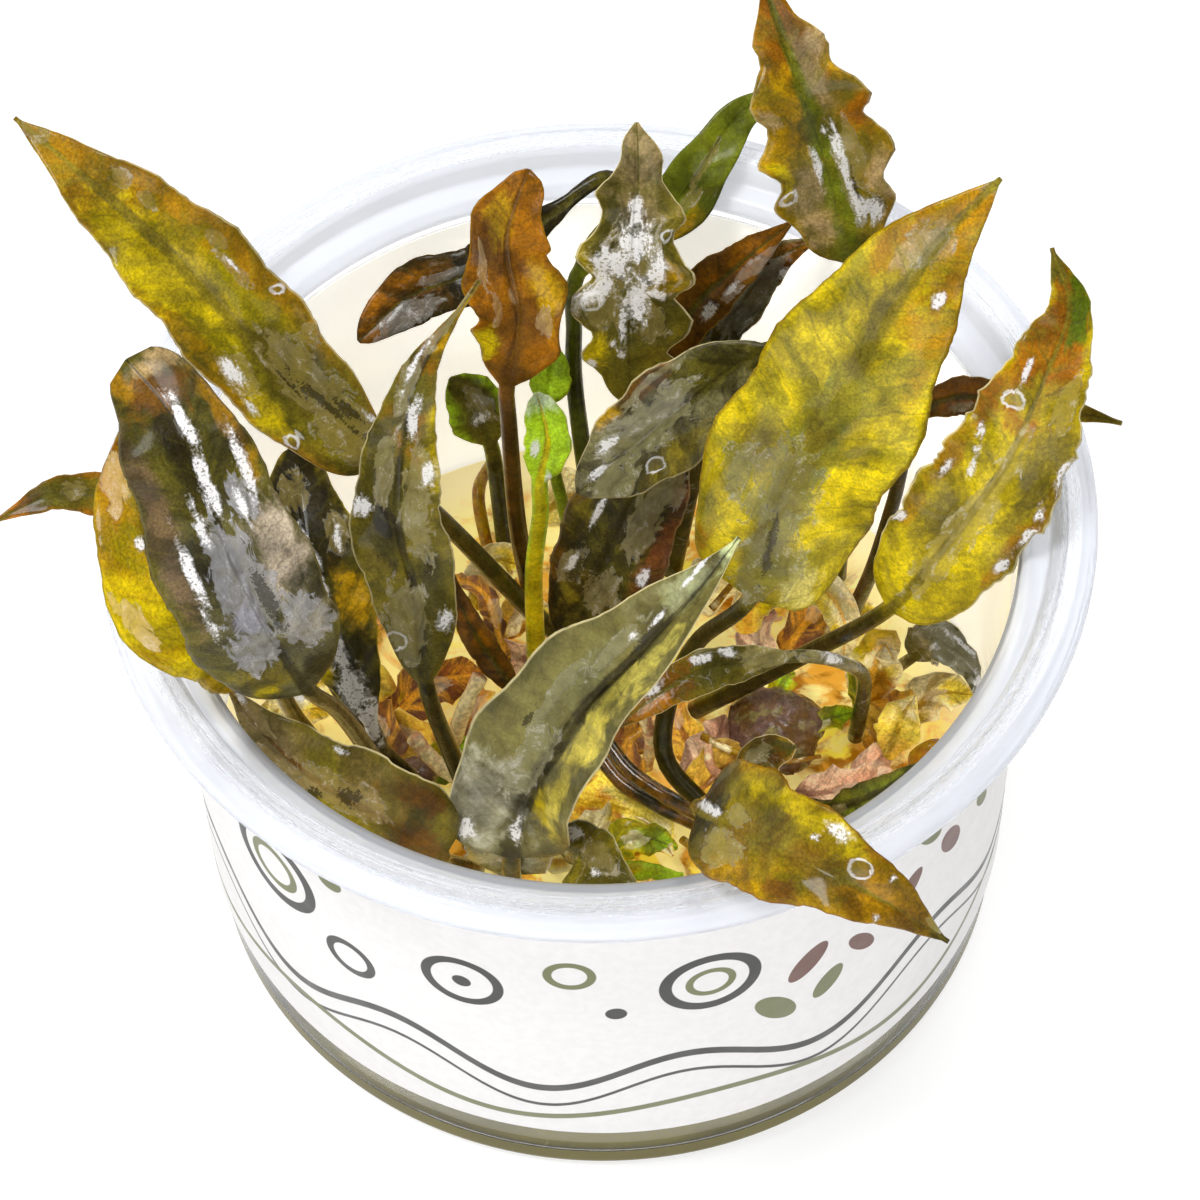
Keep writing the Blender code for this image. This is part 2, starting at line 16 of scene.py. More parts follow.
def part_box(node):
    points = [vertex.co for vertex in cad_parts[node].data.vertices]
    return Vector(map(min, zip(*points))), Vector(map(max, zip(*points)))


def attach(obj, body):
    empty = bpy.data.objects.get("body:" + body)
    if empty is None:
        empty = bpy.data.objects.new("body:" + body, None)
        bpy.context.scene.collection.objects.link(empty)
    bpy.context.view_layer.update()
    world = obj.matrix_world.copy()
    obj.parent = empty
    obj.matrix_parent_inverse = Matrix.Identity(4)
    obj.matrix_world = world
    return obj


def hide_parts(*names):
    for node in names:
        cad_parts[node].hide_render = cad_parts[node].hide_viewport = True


bl_info = {
    "name": "Cryptocoryne in a Cup",
    "version": (1, 0, 0),
    "blender": (4, 5, 0),
    "location": "View3D > Sidebar > Plant",
    "description": "Builds a young cryptocoryne wendtii in a clear culture cup",
    "category": "Object",
}

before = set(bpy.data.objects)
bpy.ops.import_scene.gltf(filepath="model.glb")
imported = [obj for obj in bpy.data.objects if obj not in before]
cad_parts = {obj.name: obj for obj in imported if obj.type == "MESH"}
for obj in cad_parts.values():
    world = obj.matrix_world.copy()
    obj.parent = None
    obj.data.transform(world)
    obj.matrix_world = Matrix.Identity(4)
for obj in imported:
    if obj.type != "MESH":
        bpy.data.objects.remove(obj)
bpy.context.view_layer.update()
MM = 0.001

# A leaf's half thickness at the midrib and half way to the margin, its tip's half width, and the
# stalk's radius
MIDRIB = 0.42
LAMINA = 0.2
TIP_WIDTH = 0.25
STALK_RADIUS = 0.85

# Side veins: how far apart, how steeply they leave the midrib, their bend, and how far the two
# sides stand out of step
VEIN_SPACING = 3.2
VEIN_SLANT = 1.1
VEIN_BEND = 0.8
VEIN_STAGGER = 0.35

# Points of a leaf's cross-section from its right margin to its left, and the steps along it
COLUMNS = np.linspace(1.0, -1.0, 29)
STALK_STEP = 1.4
BLADE_STEP = 0.62

# The way a leaf's upper side looks when it faces the front from above
FRONT = (0.0, -0.57, 0.82)

GEL_TOP = 14.0
LITTER_LEVEL = GEL_TOP + 0.9
WATER_IOR = 1.33

# The cup's outer wall: its radius at the foot, and its taper. The label on it: its gap to the wall,
# its thickness, its mean radius, and the levels of its lower and upper edges
WALL_FOOT = 42.1
WALL_TAPER = 1.1 / 56.5
LABEL_GAP = 0.3
LABEL_THICKNESS = 0.3
LABEL_RADIUS = 43.2
LABEL_LEVELS = (8.5, 54.5)


def colour(name, description, value):
    """A colour property of a settings group."""
    return FloatVectorProperty(
        name=name, description=description, default=value, subtype="COLOR", size=3, min=0.0, max=1.0
    )


def measure(name, description, value, most=1.0):
    """A length property of a settings group, in metres."""
    return FloatProperty(
        name=name, description=description, default=value, min=0.0, max=most, subtype="DISTANCE",
        unit="LENGTH"
    )


def strength(name, description, value, **more):
    """A strength or power property of a settings group."""
    return FloatProperty(name=name, description=description, default=value, min=0.0, **more)


class PlantSettings(bpy.types.PropertyGroup):
    """The tones that the leaves, crowns and roots are mixed from, and the leaves' relief."""

    olive: colour("Olive", "Most of an older leaf", (0.17, 0.13, 0.009))
    moss: colour("Moss", "Deep green-brown of a shaded leaf", (0.09, 0.076, 0.008))
    yellow: colour("Yellow", "The light parts of a bright leaf", (0.42, 0.315, 0.002))
    gold: colour("Gold", "Between yellow and orange", (0.36, 0.205, 0.002))
    orange: colour("Orange", "Orange-brown leaves and margins", (0.27, 0.098, 0.002))
    brown: colour("Brown", "Brown margins and narrow leaves", (0.13, 0.055, 0.004))
    dark: colour("Dark", "Almost black parts", (0.022, 0.017, 0.004))
    slate: colour("Slate", "Grey-green of the broad leaves", (0.15, 0.135, 0.055))
    # Sheen is painted reflection: the warm grey that light reflected in a film of water gives a blade
    sheen: colour("Sheen", "Warm grey film of water", (0.25, 0.195, 0.06))
    lime: colour("Lime", "Fresh young leaves", (0.30, 0.46, 0.012))
    leek: colour("Leek", "Deep green leaves", (0.12, 0.14, 0.006))
    cream: colour("Cream", "Pale old leaves", (0.82, 0.70, 0.36))
    salmon: colour("Salmon", "Roots", (0.55, 0.25, 0.12))
    plum: colour("Plum", "The shrunken crown", (0.16, 0.085, 0.06))
    # White is painted highlight: the bright patches where wet film reflects the lamps
    white: colour("White", "Bright patches of wet film", (0.80, 0.785, 0.78))
    frill: measure("Frill", "Height of the small waves along the margins", 0.1 * MM, 1.0 * MM)
    pucker: measure("Pucker", "Height of the swellings between the side veins", 0.05 * MM, 0.5 * MM)
    billow: measure("Billow", "Height of the broad uneven swellings of a blade", 0.7 * MM, 2.0 * MM)


class CupSettings(bpy.types.PropertyGroup):
    """The cup, its label and the gel."""

    plastic: colour("Plastic", "Tint of the clear plastic", (0.97, 0.975, 0.99))
    rim: colour("Rim", "Tint of the milky rim", (0.90, 0.925, 0.985))
    gel_side: colour("Gel side", "The gel seen through the wall", (0.085, 0.072, 0.018))
    gel_top: colour("Gel top", "The gel's light upper face", (0.80, 0.68, 0.24))
    paper: colour("Paper", "The label's ground", (0.72, 0.705, 0.70))
    # Backlight is painted light: the lining and the gel glow by it, for light shining through them
    lining: colour("Lining", "The label's inner side, seen through the wall", (0.95, 0.93, 0.86))
    backlight: strength("Backlight", "How much light comes through the label and the gel", 0.7)
    ink: colour("Ink", "The dark print on the label", (0.03, 0.03, 0.028))
    leaf_ink: colour("Leaf ink", "The olive print on the label", (0.14, 0.15, 0.06))
    wine_ink: colour("Wine ink", "The dark red print on the label", (0.13, 0.055, 0.04))
    rim_radius: measure(
        "Rim radius", "Half the width across the rim", (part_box("cup")[1][0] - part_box("cup")[0][0]) / 2
    )
    height: measure("Height", "From the base to the top of the rim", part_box("cup")[1][2])


class StageSettings(bpy.types.PropertyGroup):
    """The floor, the lights and the camera."""

    floor: colour("Floor", "The pale floor", (0.38, 0.38, 0.38))
    sky: strength("Sky", "Strength of the even white light", 0.12)
    glow: strength("Glow", "How strongly the floor shines of itself, as a light table does", 0.72)
    key: strength("Key", "Power of the soft light above, in watts", 4.0)
    back: strength("Back", "Power of the soft light behind, in watts", 2.2)
    front: strength("Front", "Power of the wide light in front, in watts", 2.6)
    lens: FloatProperty(
        name="Lens", description="Focal length", default=156.0, min=1.0, subtype="DISTANCE_CAMERA"
    )


def plant():
    """The plant's settings."""
    return bpy.context.scene.cryptocoryne_plant


def cup_settings():
    """The settings of the cup, its label and the gel."""
    return bpy.context.scene.cryptocoryne_cup


# Shader helpers

class Signal:
    """A node's output that plain arithmetic works on. Each step adds a math node."""

    def __init__(self, tree, socket):
        self.tree = tree
        self.socket = socket

    def __add__(self, other):
        return maths("ADD", self, other)

    def __sub__(self, other):
        return maths("SUBTRACT", self, other)

    def __rsub__(self, other):
        return maths("SUBTRACT", other, self)

    def __mul__(self, other):
        return maths("MULTIPLY", self, other)

    def __truediv__(self, other):
        return maths("DIVIDE", self, other)

    def __abs__(self):
        return maths("ABSOLUTE", self)


def put(socket, value):
    """Links a signal to a socket, or sets the socket's plain value."""
    if isinstance(value, Signal):
        value.tree.links.new(value.socket, socket)
    elif socket.type == "RGBA" and len(value) == 3:
        socket.default_value = (*value, 1.0)
    else:
        socket.default_value = value


def put_all(shader, values):
    """Links or sets several inputs of a shader."""
    for key, value in values.items():
        put(shader.inputs[key], value)


def add(tree, kind, inputs=(), **settings):
    """A new node's outputs by name and index. Its inputs are given as (name or index, value)."""
    made = tree.nodes.new(kind)
    for key, value in settings.items():
        setattr(made, key, value)
    for key, value in dict(inputs).items():
        put(made.inputs[key], value)
    outputs = {}
    for i, socket in enumerate(made.outputs):
        outputs[i] = outputs[socket.name] = Signal(tree, socket)
    return outputs


def tree_of(*values):
    """The node tree of the first signal among some values."""
    return next(value.tree for value in values if isinstance(value, Signal))


def maths(operation, *values):
    """A math node's result."""
    return add(tree_of(*values), "ShaderNodeMath", enumerate(values), operation=operation)[0]


def mixed(share, one, two, blend="MIX"):
    """A colour between two."""
    tree = tree_of(share, one, two)
    return add(tree, "ShaderNodeMix", {0: share, 6: one, 7: two}, data_type="RGBA", blend_type=blend)[2]


def painted(paint, *layers):
    """A colour with tones laid over it in turn, each given as (share, tone)."""
    for share, over in layers:
        paint = mixed(share, paint, tone(over))
    return paint


def shaded(paint, shade):
    """A colour made darker or lighter by a factor."""
    grey = add(shade.tree, "ShaderNodeCombineColor", {0: shade, 1: shade, 2: shade})[0]
    return mixed(1.0, paint, grey, "MULTIPLY")


def ramp(value, low, high, start=0.0, end=1.0):
    """A smooth step from start to end as the value goes from low to high."""
    return add(
        tree_of(value), "ShaderNodeMapRange", {0: value, 1: low, 2: high, 3: start, 4: end},
        interpolation_type="SMOOTHSTEP"
    )[0]


def grain(where, scale, detail=2.0, roughness=0.5, distortion=0.0):
    """Cloudy noise around 0.5."""
    return add(
        where.tree, "ShaderNodeTexNoise",
        {"Vector": where, "Scale": scale, "Detail": detail, "Roughness": roughness, "Distortion": distortion}
    )["Fac"]


def distance(one, two):
    """How long a step is, from its two parts."""
    return maths("SQRT", one * one + two * two)


def relief(height, strong, deep):
    """A bumped normal: how strong, and how deep in metres."""
    return add(height.tree, "ShaderNodeBump", {"Strength": strong, "Distance": deep, "Height": height})[0]


def object_places(tree):
    """A point of the object in metres, and its three parts."""
    where = add(tree, "ShaderNodeTexCoord")["Object"]
    parts = add(tree, "ShaderNodeSeparateXYZ", {0: where})
    return where, parts[0], parts[1], parts[2]


def leaf_places(tree, seed=0.0):
    """Across (-1 to 1) and along (0 to 1) a blade, the same in millimetres, and a seeded point."""
    share, size = (
        add(tree, "ShaderNodeSeparateXYZ", {0: add(tree, "ShaderNodeUVMap", uv_map=name)[0]})
        for name in ("leaf", "mm")
    )
    point = add(tree, "ShaderNodeCombineXYZ", {0: size[0], 1: size[1], 2: seed})[0]
    return share[0], share[1], size[0], size[1], point


def field(tree, name, output="Fac"):
    """A value that the mesh carries at its points."""
    return add(tree, "ShaderNodeAttribute", attribute_name=name)[output]


# Shared effects: each builder gets a group's tree and inputs, and gives back its outputs

def leaf_grain(tree, into):
    """The uneven fields that the other leaf effects share: broad, middling, fine, and thin curved lines."""
    point = leaf_places(tree, into["Seed"])[4]
    drawn = add(tree, "ShaderNodeVectorMath", {0: point, 1: (1.0, 0.5, 1.0)}, operation="MULTIPLY")[0]
    ragged = grain(drawn, 0.9, 3.0, 0.6, 0.7)
    off = abs(grain(point, 0.4, 1.5, 0.4, 0.8) - 0.5)
    return {
        "Broad": grain(point, 0.22, 3.0, 0.55), "Ragged": ragged, "Speckle": grain(point, 3.4, 2.0, 0.65),
        "Lines": ramp(off, 0.022, 0.008) * ramp(ragged, 0.47, 0.55)
    }


def leaf_tones(tree, into):
    """Colour of a blade: base, middle and tip tones, a margin, marks and a midrib, with ragged borders."""
    across, along, across_mm, _, _ = leaf_places(tree)
    turn = into["Turn"]
    broad = into["Broad"] - 0.5
    ragged = into["Ragged"] - 0.5
    both = ragged * 0.35 + broad
    shifted = both + along
    outward = both * 0.9 + abs(across)
    marked = broad * 1.6 + (ragged * 1.8 + field(tree, "marked"))
    width = into["Midrib Width"] * ramp(along, 1.0, 0.3, 0.25, 1.0)
    near = ragged * 1.6 + abs(across_mm) / width
    return {"Color": painted(
        into["Base"],
        (ramp(shifted, 0.0, turn * 0.9), into["Middle"]),
        (ramp(shifted, turn, turn * 0.5 + 0.5), into["Tip"]),
        (ramp(outward, 1.0 - into["Margin Width"] * 2.0, 1.05), into["Margin"]),
        (ramp(marked, -0.35, 0.55), field(tree, "tint", "Color")),
        (ramp(near, 1.5, 0.6, 0.0, 0.85), into["Midrib"]),
    )}


def vein_phase(across_mm, along_mm, wobble):
    """How far along the blade the side vein through a point leaves the midrib."""
    bend = maths("POWER", abs(across_mm), VEIN_BEND) * VEIN_SLANT
    return along_mm - bend + (wobble * 3.0 + maths("SIGN", across_mm) * VEIN_STAGGER)


def leaf_veins(tree, into):
    """Side veins that leave the midrib at a slant, the fine net between them, and their relief."""
    _, _, across_mm, along_mm, point = leaf_places(tree, into["Seed"])
    phase = vein_phase(across_mm, along_mm, into["Broad"] - 0.5)
    nearness = abs(maths("FRACT", phase / VEIN_SPACING) - 0.5)
    net = add(
        tree, "ShaderNodeTexVoronoi", {"Vector": point, "Scale": into["Net"]}, feature="DISTANCE_TO_EDGE"
    )["Distance"]
    cells = ramp(net, 0.0, 0.12)
    rib = ramp(abs(across_mm), 0.5, 0.15, 0.0, 0.6)
    return {
        "Veins": ramp(nearness, 0.42, 0.5), "Cells": cells,
        "Height": cells * 0.1 + ramp(nearness, 0.5, 0.1) * 0.35 - rib
    }


def blotches(tree, into):
    """Soft ragged blotches drawn out along the side veins."""
    _, _, across_mm, along_mm, _ = leaf_places(tree)
    phase = vein_phase(across_mm, along_mm, into["Broad"] - 0.5)
    point = add(
        tree, "ShaderNodeCombineXYZ", {0: across_mm / into["Stretch"], 1: phase, 2: into["Seed"]}
    )[0]
    cloud = grain(point, maths("DIVIDE", 1.0, into["Size"]), 4.0, 0.64)
    middle = (0.5 - into["Cover"]) * 0.45 + 0.5
    return {"Mask": ramp(cloud, middle - into["Edge"], middle + into["Edge"])}


def leaf_film(tree, into):
    """Where water lies on a blade: its grey film, painted sheen with a painted highlight on the outline,
    its bright ragged spots, painted highlights, and dark cracks.
    """
    speckle = into["Speckle"]
    uneven = into["Ragged"] - 0.5
    fine = speckle - 0.5
    film = uneven * 2.2 + field(tree, "film")
    bright = fine * 1.5 + (uneven * 3.0 + field(tree, "bright"))
    crack = fine * 2.5 + (uneven * 3.0 + field(tree, "crack"))
    lace = ramp(into["Cells"] * 0.06 + speckle, 0.4, 0.47, 0.25, 1.0)
    return {
        "Film": ramp(film, -0.02, 0.07),
        "Outline": ramp(abs(film), 0.06, 0.02) * ramp(into["Broad"], 0.46, 0.54, 0.15, 1.0),
        "Bright": maths("MAXIMUM", ramp(bright, 0.0, 0.16) * lace, ramp(bright, -0.5, 0.0, 0.0, 0.3)),
        "Crack": ramp(crack, -0.05, 0.1)
    }


def drop_ring(tree, into):
    """A painted highlight round a flattened drop on a blade and painted sheen inside it, in millimetres."""
    _, _, across_mm, along_mm, _ = leaf_places(tree)
    radius = into["Radius"]
    uneven = into["Ragged"] - 0.5
    far = uneven * 1.4 + distance(across_mm - into["Across"], along_mm - into["Along"])
    return {
        "Ring": ramp(abs(far - radius), 0.24, 0.08) * ramp(uneven, -0.1, 0.08, 0.5, 1.0),
        "Inside": ramp(far, radius, radius - 0.3)
    }


def label_dot(tree, into):
    """A ring or a filled oval on the label: place and sizes in millimetres."""
    high = into["Up"] - into["Level"]
    wide = (high * into["Lean"] + (into["Round"] - into["Centre"])) * into["Slim"]
    edge = abs(distance(wide, high) - into["Radius"]) - into["Line"] * 0.5
    return {"Mask": ramp(edge, 0.06, -0.06)}


# Each effect's builder and its inputs with their defaults: a number, or a colour
UNEVEN = {"Broad": 0.5, "Ragged": 0.5}
EFFECTS = {
    "Leaf grain": (leaf_grain, {"Seed": 0.0}),
    "Leaf tones": (leaf_tones, {
        "Base": (0.1, 0.1, 0.05), "Middle": (0.2, 0.2, 0.0), "Tip": (0.2, 0.1, 0.0),
        "Margin": (0.2, 0.1, 0.0), "Midrib": (0.05, 0.04, 0.01), "Margin Width": 0.25,
        "Midrib Width": 0.35, "Turn": 0.5, **UNEVEN
    }),
    "Leaf veins": (leaf_veins, {"Net": 1.1, "Broad": 0.5, "Seed": 0.0}),
    "Blotches": (blotches, {
        "Size": 3.0, "Cover": 0.5, "Edge": 0.1, "Stretch": 2.2, "Broad": 0.5, "Seed": 0.0
    }),
    "Leaf film": (leaf_film, {**UNEVEN, "Speckle": 0.5, "Cells": 1.0}),
    "Drop ring": (drop_ring, {"Across": 0.0, "Along": 0.0, "Radius": 0.9, "Ragged": 0.5}),
    "Label dot": (label_dot, {
        "Round": 0.0, "Up": 0.0, "Centre": 0.0, "Level": 0.0, "Radius": 2.0, "Line": 0.5, "Lean": 0.0,
        "Slim": 1.0
    }),
}


def new_group(name, build, inputs):
    """A shader node group of an effect."""
    tree = bpy.data.node_groups.new(name, "ShaderNodeTree")
    for label, default in inputs.items():
        plain = isinstance(default, float)
        kind = "NodeSocketFloat" if plain else "NodeSocketColor"
        made = tree.interface.new_socket(label, in_out="INPUT", socket_type=kind)
        made.default_value = default if plain else (*default, 1.0)
    outputs = build(tree, add(tree, "NodeGroupInput"))
    for label, value in outputs.items():
        kind = "NodeSocketColor" if value.socket.type == "RGBA" else "NodeSocketFloat"
        tree.interface.new_socket(label, in_out="OUTPUT", socket_type=kind)
    put_all(tree.nodes.new("NodeGroupOutput"), outputs)
    return tree


def effect(tree, name, inputs):
    """A shared effect placed in a material with its own values. Its group is made once."""
    shared = bpy.data.node_groups.get(name) or new_group(name, *EFFECTS[name])
    return add(tree, "ShaderNodeGroup", inputs, node_tree=shared)


def new_material(name):
    """A material, its node tree and its shader."""
    made = bpy.data.materials.new(name)
    made.use_nodes = True
    return made, made.node_tree, made.node_tree.nodes["Principled BSDF"]


def tone(key):
    """A colour given by its name in the plant's settings, or as it is."""
    return tuple(getattr(plant(), key)) if isinstance(key, str) else key


def look(base, middle, tip, margin, blotch, **more):
    """How a leaf looks: the tones of its blade, then what differs from leaf_finish's defaults."""
    return dict(base=base, middle=middle, tip=tip, margin=margin, blotch=blotch, **more)


def leaf_finish(name, base, middle, tip, margin, blotch, midrib="moss", midrib_width=0.4, margin_width=0.25,
                turn=0.45, cover=0.4, blotch_size=2.4, blotch_share=0.7, veins="moss", vein_share=0.25,
                rings=(), rough=0.4, edge="gold", edge_share=0.5, under="olive", film_share=0.6,
                film_tone="sheen", lines=0.0, gloss=0.35, speck=0.6, through=0.0, stalk_shade=0.42):
    """A wet leaf. Tones are names from the plant's settings, or colours.

    turn: where along the blade the middle tone gives way to the tip's. cover: how much the blotches
    cover. edge: the thin line at the margin; in a pale tone it is painted light shining through the thin
    margin, in a dark tone a darker rim. under: the lower side. rings: drop outlines, painted highlights
    with painted sheen inside, as (across, along, radius). lines: the share of thin painted highlight
    lines. gloss: how wet it is where no film is marked. speck: how strong its fine speckle is. through:
    how strongly it glows of itself, painted light that stands for light shining through it where it is
    old and thin. stalk_shade: how dark its stalk is beside the blade.
    """
    made, tree, shader = new_material(name)
    seed = float(sum(map(ord, name)) % 97)
    fields = effect(tree, "Leaf grain", {"Seed": seed})
    broad, ragged, speckle = fields["Broad"], fields["Ragged"], fields["Speckle"]
    lined = effect(tree, "Leaf veins", {"Broad": broad, "Seed": seed})
    mottle = effect(tree, "Blotches", {"Size": blotch_size, "Cover": cover, "Broad": broad, "Seed": seed})
    water = effect(
        tree, "Leaf film", {"Broad": broad, "Ragged": ragged, "Speckle": speckle, "Cells": lined["Cells"]}
    )
    across, _, _, along_mm, _ = leaf_places(tree)

    paint = effect(tree, "Leaf tones", {
        "Base": tone(base), "Middle": tone(middle), "Tip": tone(tip), "Margin": tone(margin),
        "Midrib": tone(midrib), "Margin Width": margin_width, "Midrib Width": midrib_width,
        "Turn": turn, "Broad": broad, "Ragged": ragged
    })["Color"]
    paint = painted(paint, (mottle["Mask"] * blotch_share, blotch), (lined["Veins"] * vein_share, veins))
    shade = ramp(lined["Cells"], 0.0, 1.0, 0.9, 1.03)
    for value, low, high, darkest, lightest in (
        (speckle, 0.3, 0.7, 1.0 - 0.4 * speck, 1.0 + 0.38 * speck), (broad, 0.34, 0.66, 0.6, 1.36),
        (ragged, 0.35, 0.65, 0.88, 1.12), (along_mm, -4.0, 2.5, stalk_shade, 1.0)
    ):
        shade = shade * ramp(value, low, high, darkest, lightest)
    # Painted glints, laid in the film only
    glint = ramp((speckle - 0.5) * 0.5 + ragged, 0.6, 0.68, 0.0, 0.16)
    paint = painted(
        shaded(paint, shade),
        # The edge line: in a pale tone it is painted light shining through the thin margin
        (ramp(abs(across), 0.955, 0.985, 0.0, edge_share), edge),
        (ramp(field(tree, "under"), 0.5, 0.9, 0.0, 0.7), under),
        # The film's grey is painted sheen, with painted glints on it
        (water["Film"] * ramp(ragged, 0.35, 0.6, 0.55 * film_share, film_share), film_tone),
        (glint * water["Film"], "white"),
        # Painted highlight lines: the film's outline and the thin lines
        (maths("MAXIMUM", water["Outline"] * 0.13, fields["Lines"] * lines), "white"),
        (water["Crack"] * 0.8, "dark"),
        # Painted highlights on the wet spots
        (water["Bright"] * 0.85, "white"),
    )
    wet = maths("MAXIMUM", water["Film"], water["Bright"])
    for drop in rings:
        place = dict(zip(("Across", "Along", "Radius"), drop))
        ring = effect(tree, "Drop ring", {**place, "Ragged": ragged})
        # Painted sheen inside each drop and a painted highlight round its edge
        paint = painted(paint, (ring["Inside"] * 0.2, "sheen"), (ring["Ring"] * 0.75, "white"))
        wet = maths("MAXIMUM", wet, ring["Inside"])
    # Painted glow: the leaf shines of itself in its own colour, for light shining through its thin tissue
    if through:
        put_all(shader, {"Emission Color": paint, "Emission Strength": through})
    wet_stalk = ramp(along_mm, 2.5, -4.0, 0.0, 0.8)
    height = wet * 0.6 + (ragged * 1.2 + (speckle * (0.3 * speck) + lined["Height"]))
    put_all(shader, {
        "Base Color": paint, "Roughness": ramp(wet, 0.0, 1.0, rough, rough * 0.4), "IOR": 1.16,
        "Coat Weight": maths("MAXIMUM", ramp(wet, 0.0, 1.0, gloss, 0.7), wet_stalk),
        "Coat IOR": WATER_IOR, "Coat Roughness": 0.13, "Normal": relief(height, 0.6, 0.0003)
    })
    return made


def plain_finish(name, colours, size, rough=0.35, coat=0.3, deep=0.0002):
    """A damp surface mixed from two or three tones by noise of a size in millimetres."""
    made, tree, shader = new_material(name)
    where = add(tree, "ShaderNodeTexCoord")["Object"]
    cloud = grain(where, 1000.0 / size, 5.0, 0.6, 0.4)
    paint = mixed(ramp(cloud, 0.4, 0.6), tone(colours[0]), tone(colours[1]))
    if len(colours) > 2:
        paint = painted(paint, (ramp(grain(where, 1700.0 / size, 3.0, 0.6), 0.52, 0.66), colours[2]))
    fine = grain(where, 5000.0 / size, 3.0, 0.7)
    put_all(shader, {
        "Base Color": shaded(paint, ramp(fine, 0.3, 0.7, 0.7, 1.3)),
        "Roughness": ramp(cloud, 0.3, 0.7, rough, rough * 0.5), "IOR": 1.3,
        "Coat Weight": coat, "Coat IOR": WATER_IOR, "Coat Roughness": 0.1,
        "Normal": relief(fine * 0.4 + cloud, 0.7, deep)
    })
    return made


# Mesh helpers

def piece(name, vertices, faces, finish, nodes=(), slot=None, sharp=180.0):
    """A mesh piece from points in millimetres that rides on the object's one body."""
    mesh = bpy.data.meshes.new(name)
    mesh.from_pydata(np.asarray(vertices) * MM, [], faces)
    mesh.materials.append(finish)
    mesh.shade_smooth()
    if sharp < 180.0:
        mesh.set_sharp_from_angle(angle=math.radians(sharp))
    made = bpy.data.objects.new(name, mesh)
    bpy.context.scene.collection.objects.link(made)
    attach(made, "root")
    if nodes:
        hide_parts(*nodes)
    return made


def ring_faces(rings, count):
    """Quads between rings of points, with both ends capped."""
    faces = []
    for low in range(0, (rings - 1) * count, count):
        for j in range(count):
            k = (j + 1) % count
            faces.append((low + j, low + count + j, low + count + k, low + k))
    return faces + [tuple(range(count)), tuple(reversed(range((rings - 1) * count, rings * count)))]


def curve_point(route, where):
    """A point on the smooth curve through a route, where counts its points from 0."""
    last = len(route) - 1
    start = min(int(where), last - 1)
    part = where - start
    before, first, second, after = (
        Vector(route[max(0, min(last, i))]) for i in range(start - 1, start + 3)
    )
    if start == 0:
        before = first * 2.0 - second
    if start == last - 1:
        after = second * 2.0 - first
    return 0.5 * (
        first * 2.0
        + (second - before) * part
        + (before * 2.0 - first * 5.0 + second * 4.0 - after) * part**2
        + (first * 3.0 - before - second * 3.0 + after) * part**3
    )


def even_points(route, begin, end, step):
    """Points at even steps of about a length along the curve between two of the route's points."""
    fine = np.array([curve_point(route, begin + (end - begin) * i / 300.0) for i in range(301)])
    reach = np.concatenate([[0.0], np.cumsum(np.linalg.norm(np.diff(fine, axis=0), axis=1))])
    count = max(3, int(reach[-1] / step) + 1)
    wanted = np.linspace(0.0, reach[-1], count)
    return np.stack([np.interp(wanted, reach, fine[:, i]) for i in range(3)], 1), reach[-1]


def heading(centres, i):
    """The way a row of points runs at one of them."""
    return Vector(centres[min(len(centres) - 1, i + 1)] - centres[max(0, i - 1)]).normalized()


def smooth_step(value, low, high):
    """0 below low, 1 above high and a smooth rise between."""
    share = np.clip((value - low) / (high - low), 0.0, 1.0)
    return share * share * (3.0 - 2.0 * share)


def wavy(value, seed):
    """A smooth irregular wave between about -1 and 1."""
    return (
        0.5 * np.sin(value + seed)
        + 0.32 * np.sin(value * 1.73 + seed * 2.3)
        + 0.25 * np.sin(value * 2.61 + seed * 4.1)
    )


def facing_at(faces, share):
    """The way a blade's upper side looks at a share of its length."""
    spot = share * (len(faces) - 1)
    first = min(int(spot), len(faces) - 2)
    return Vector(faces[first]).lerp(Vector(faces[first + 1]), spot - first)


def swellings(blade_mm, half, reach, out, hand, seed):
    """How far a blade swells across one section, between its side veins and in broad billows."""
    tones = plant()
    slant = blade_mm - VEIN_SLANT * reach**VEIN_BEND + hand * VEIN_STAGGER
    puckers = tones.pucker / MM * np.sin(2.0 * math.pi * slant / VEIN_SPACING)
    puckers = puckers * (0.5 + 0.5 * wavy(blade_mm * 0.35 + hand, seed))
    row = blade_mm * 0.17 + seed
    billows = np.array([noise.noise((x * half * 0.2 + seed, row, 0.0)) for x in COLUMNS]) * tones.billow / MM
    return puckers * smooth_step(out, 0.05, 0.3) + billows


def write_at_points(mesh, label, values, kind="FLOAT", part="value"):
    """Writes a field that the materials read from the mesh's points."""
    mesh.attributes.new(label, kind, "POINT").data.foreach_set(part, values.astype(np.float32).ravel())


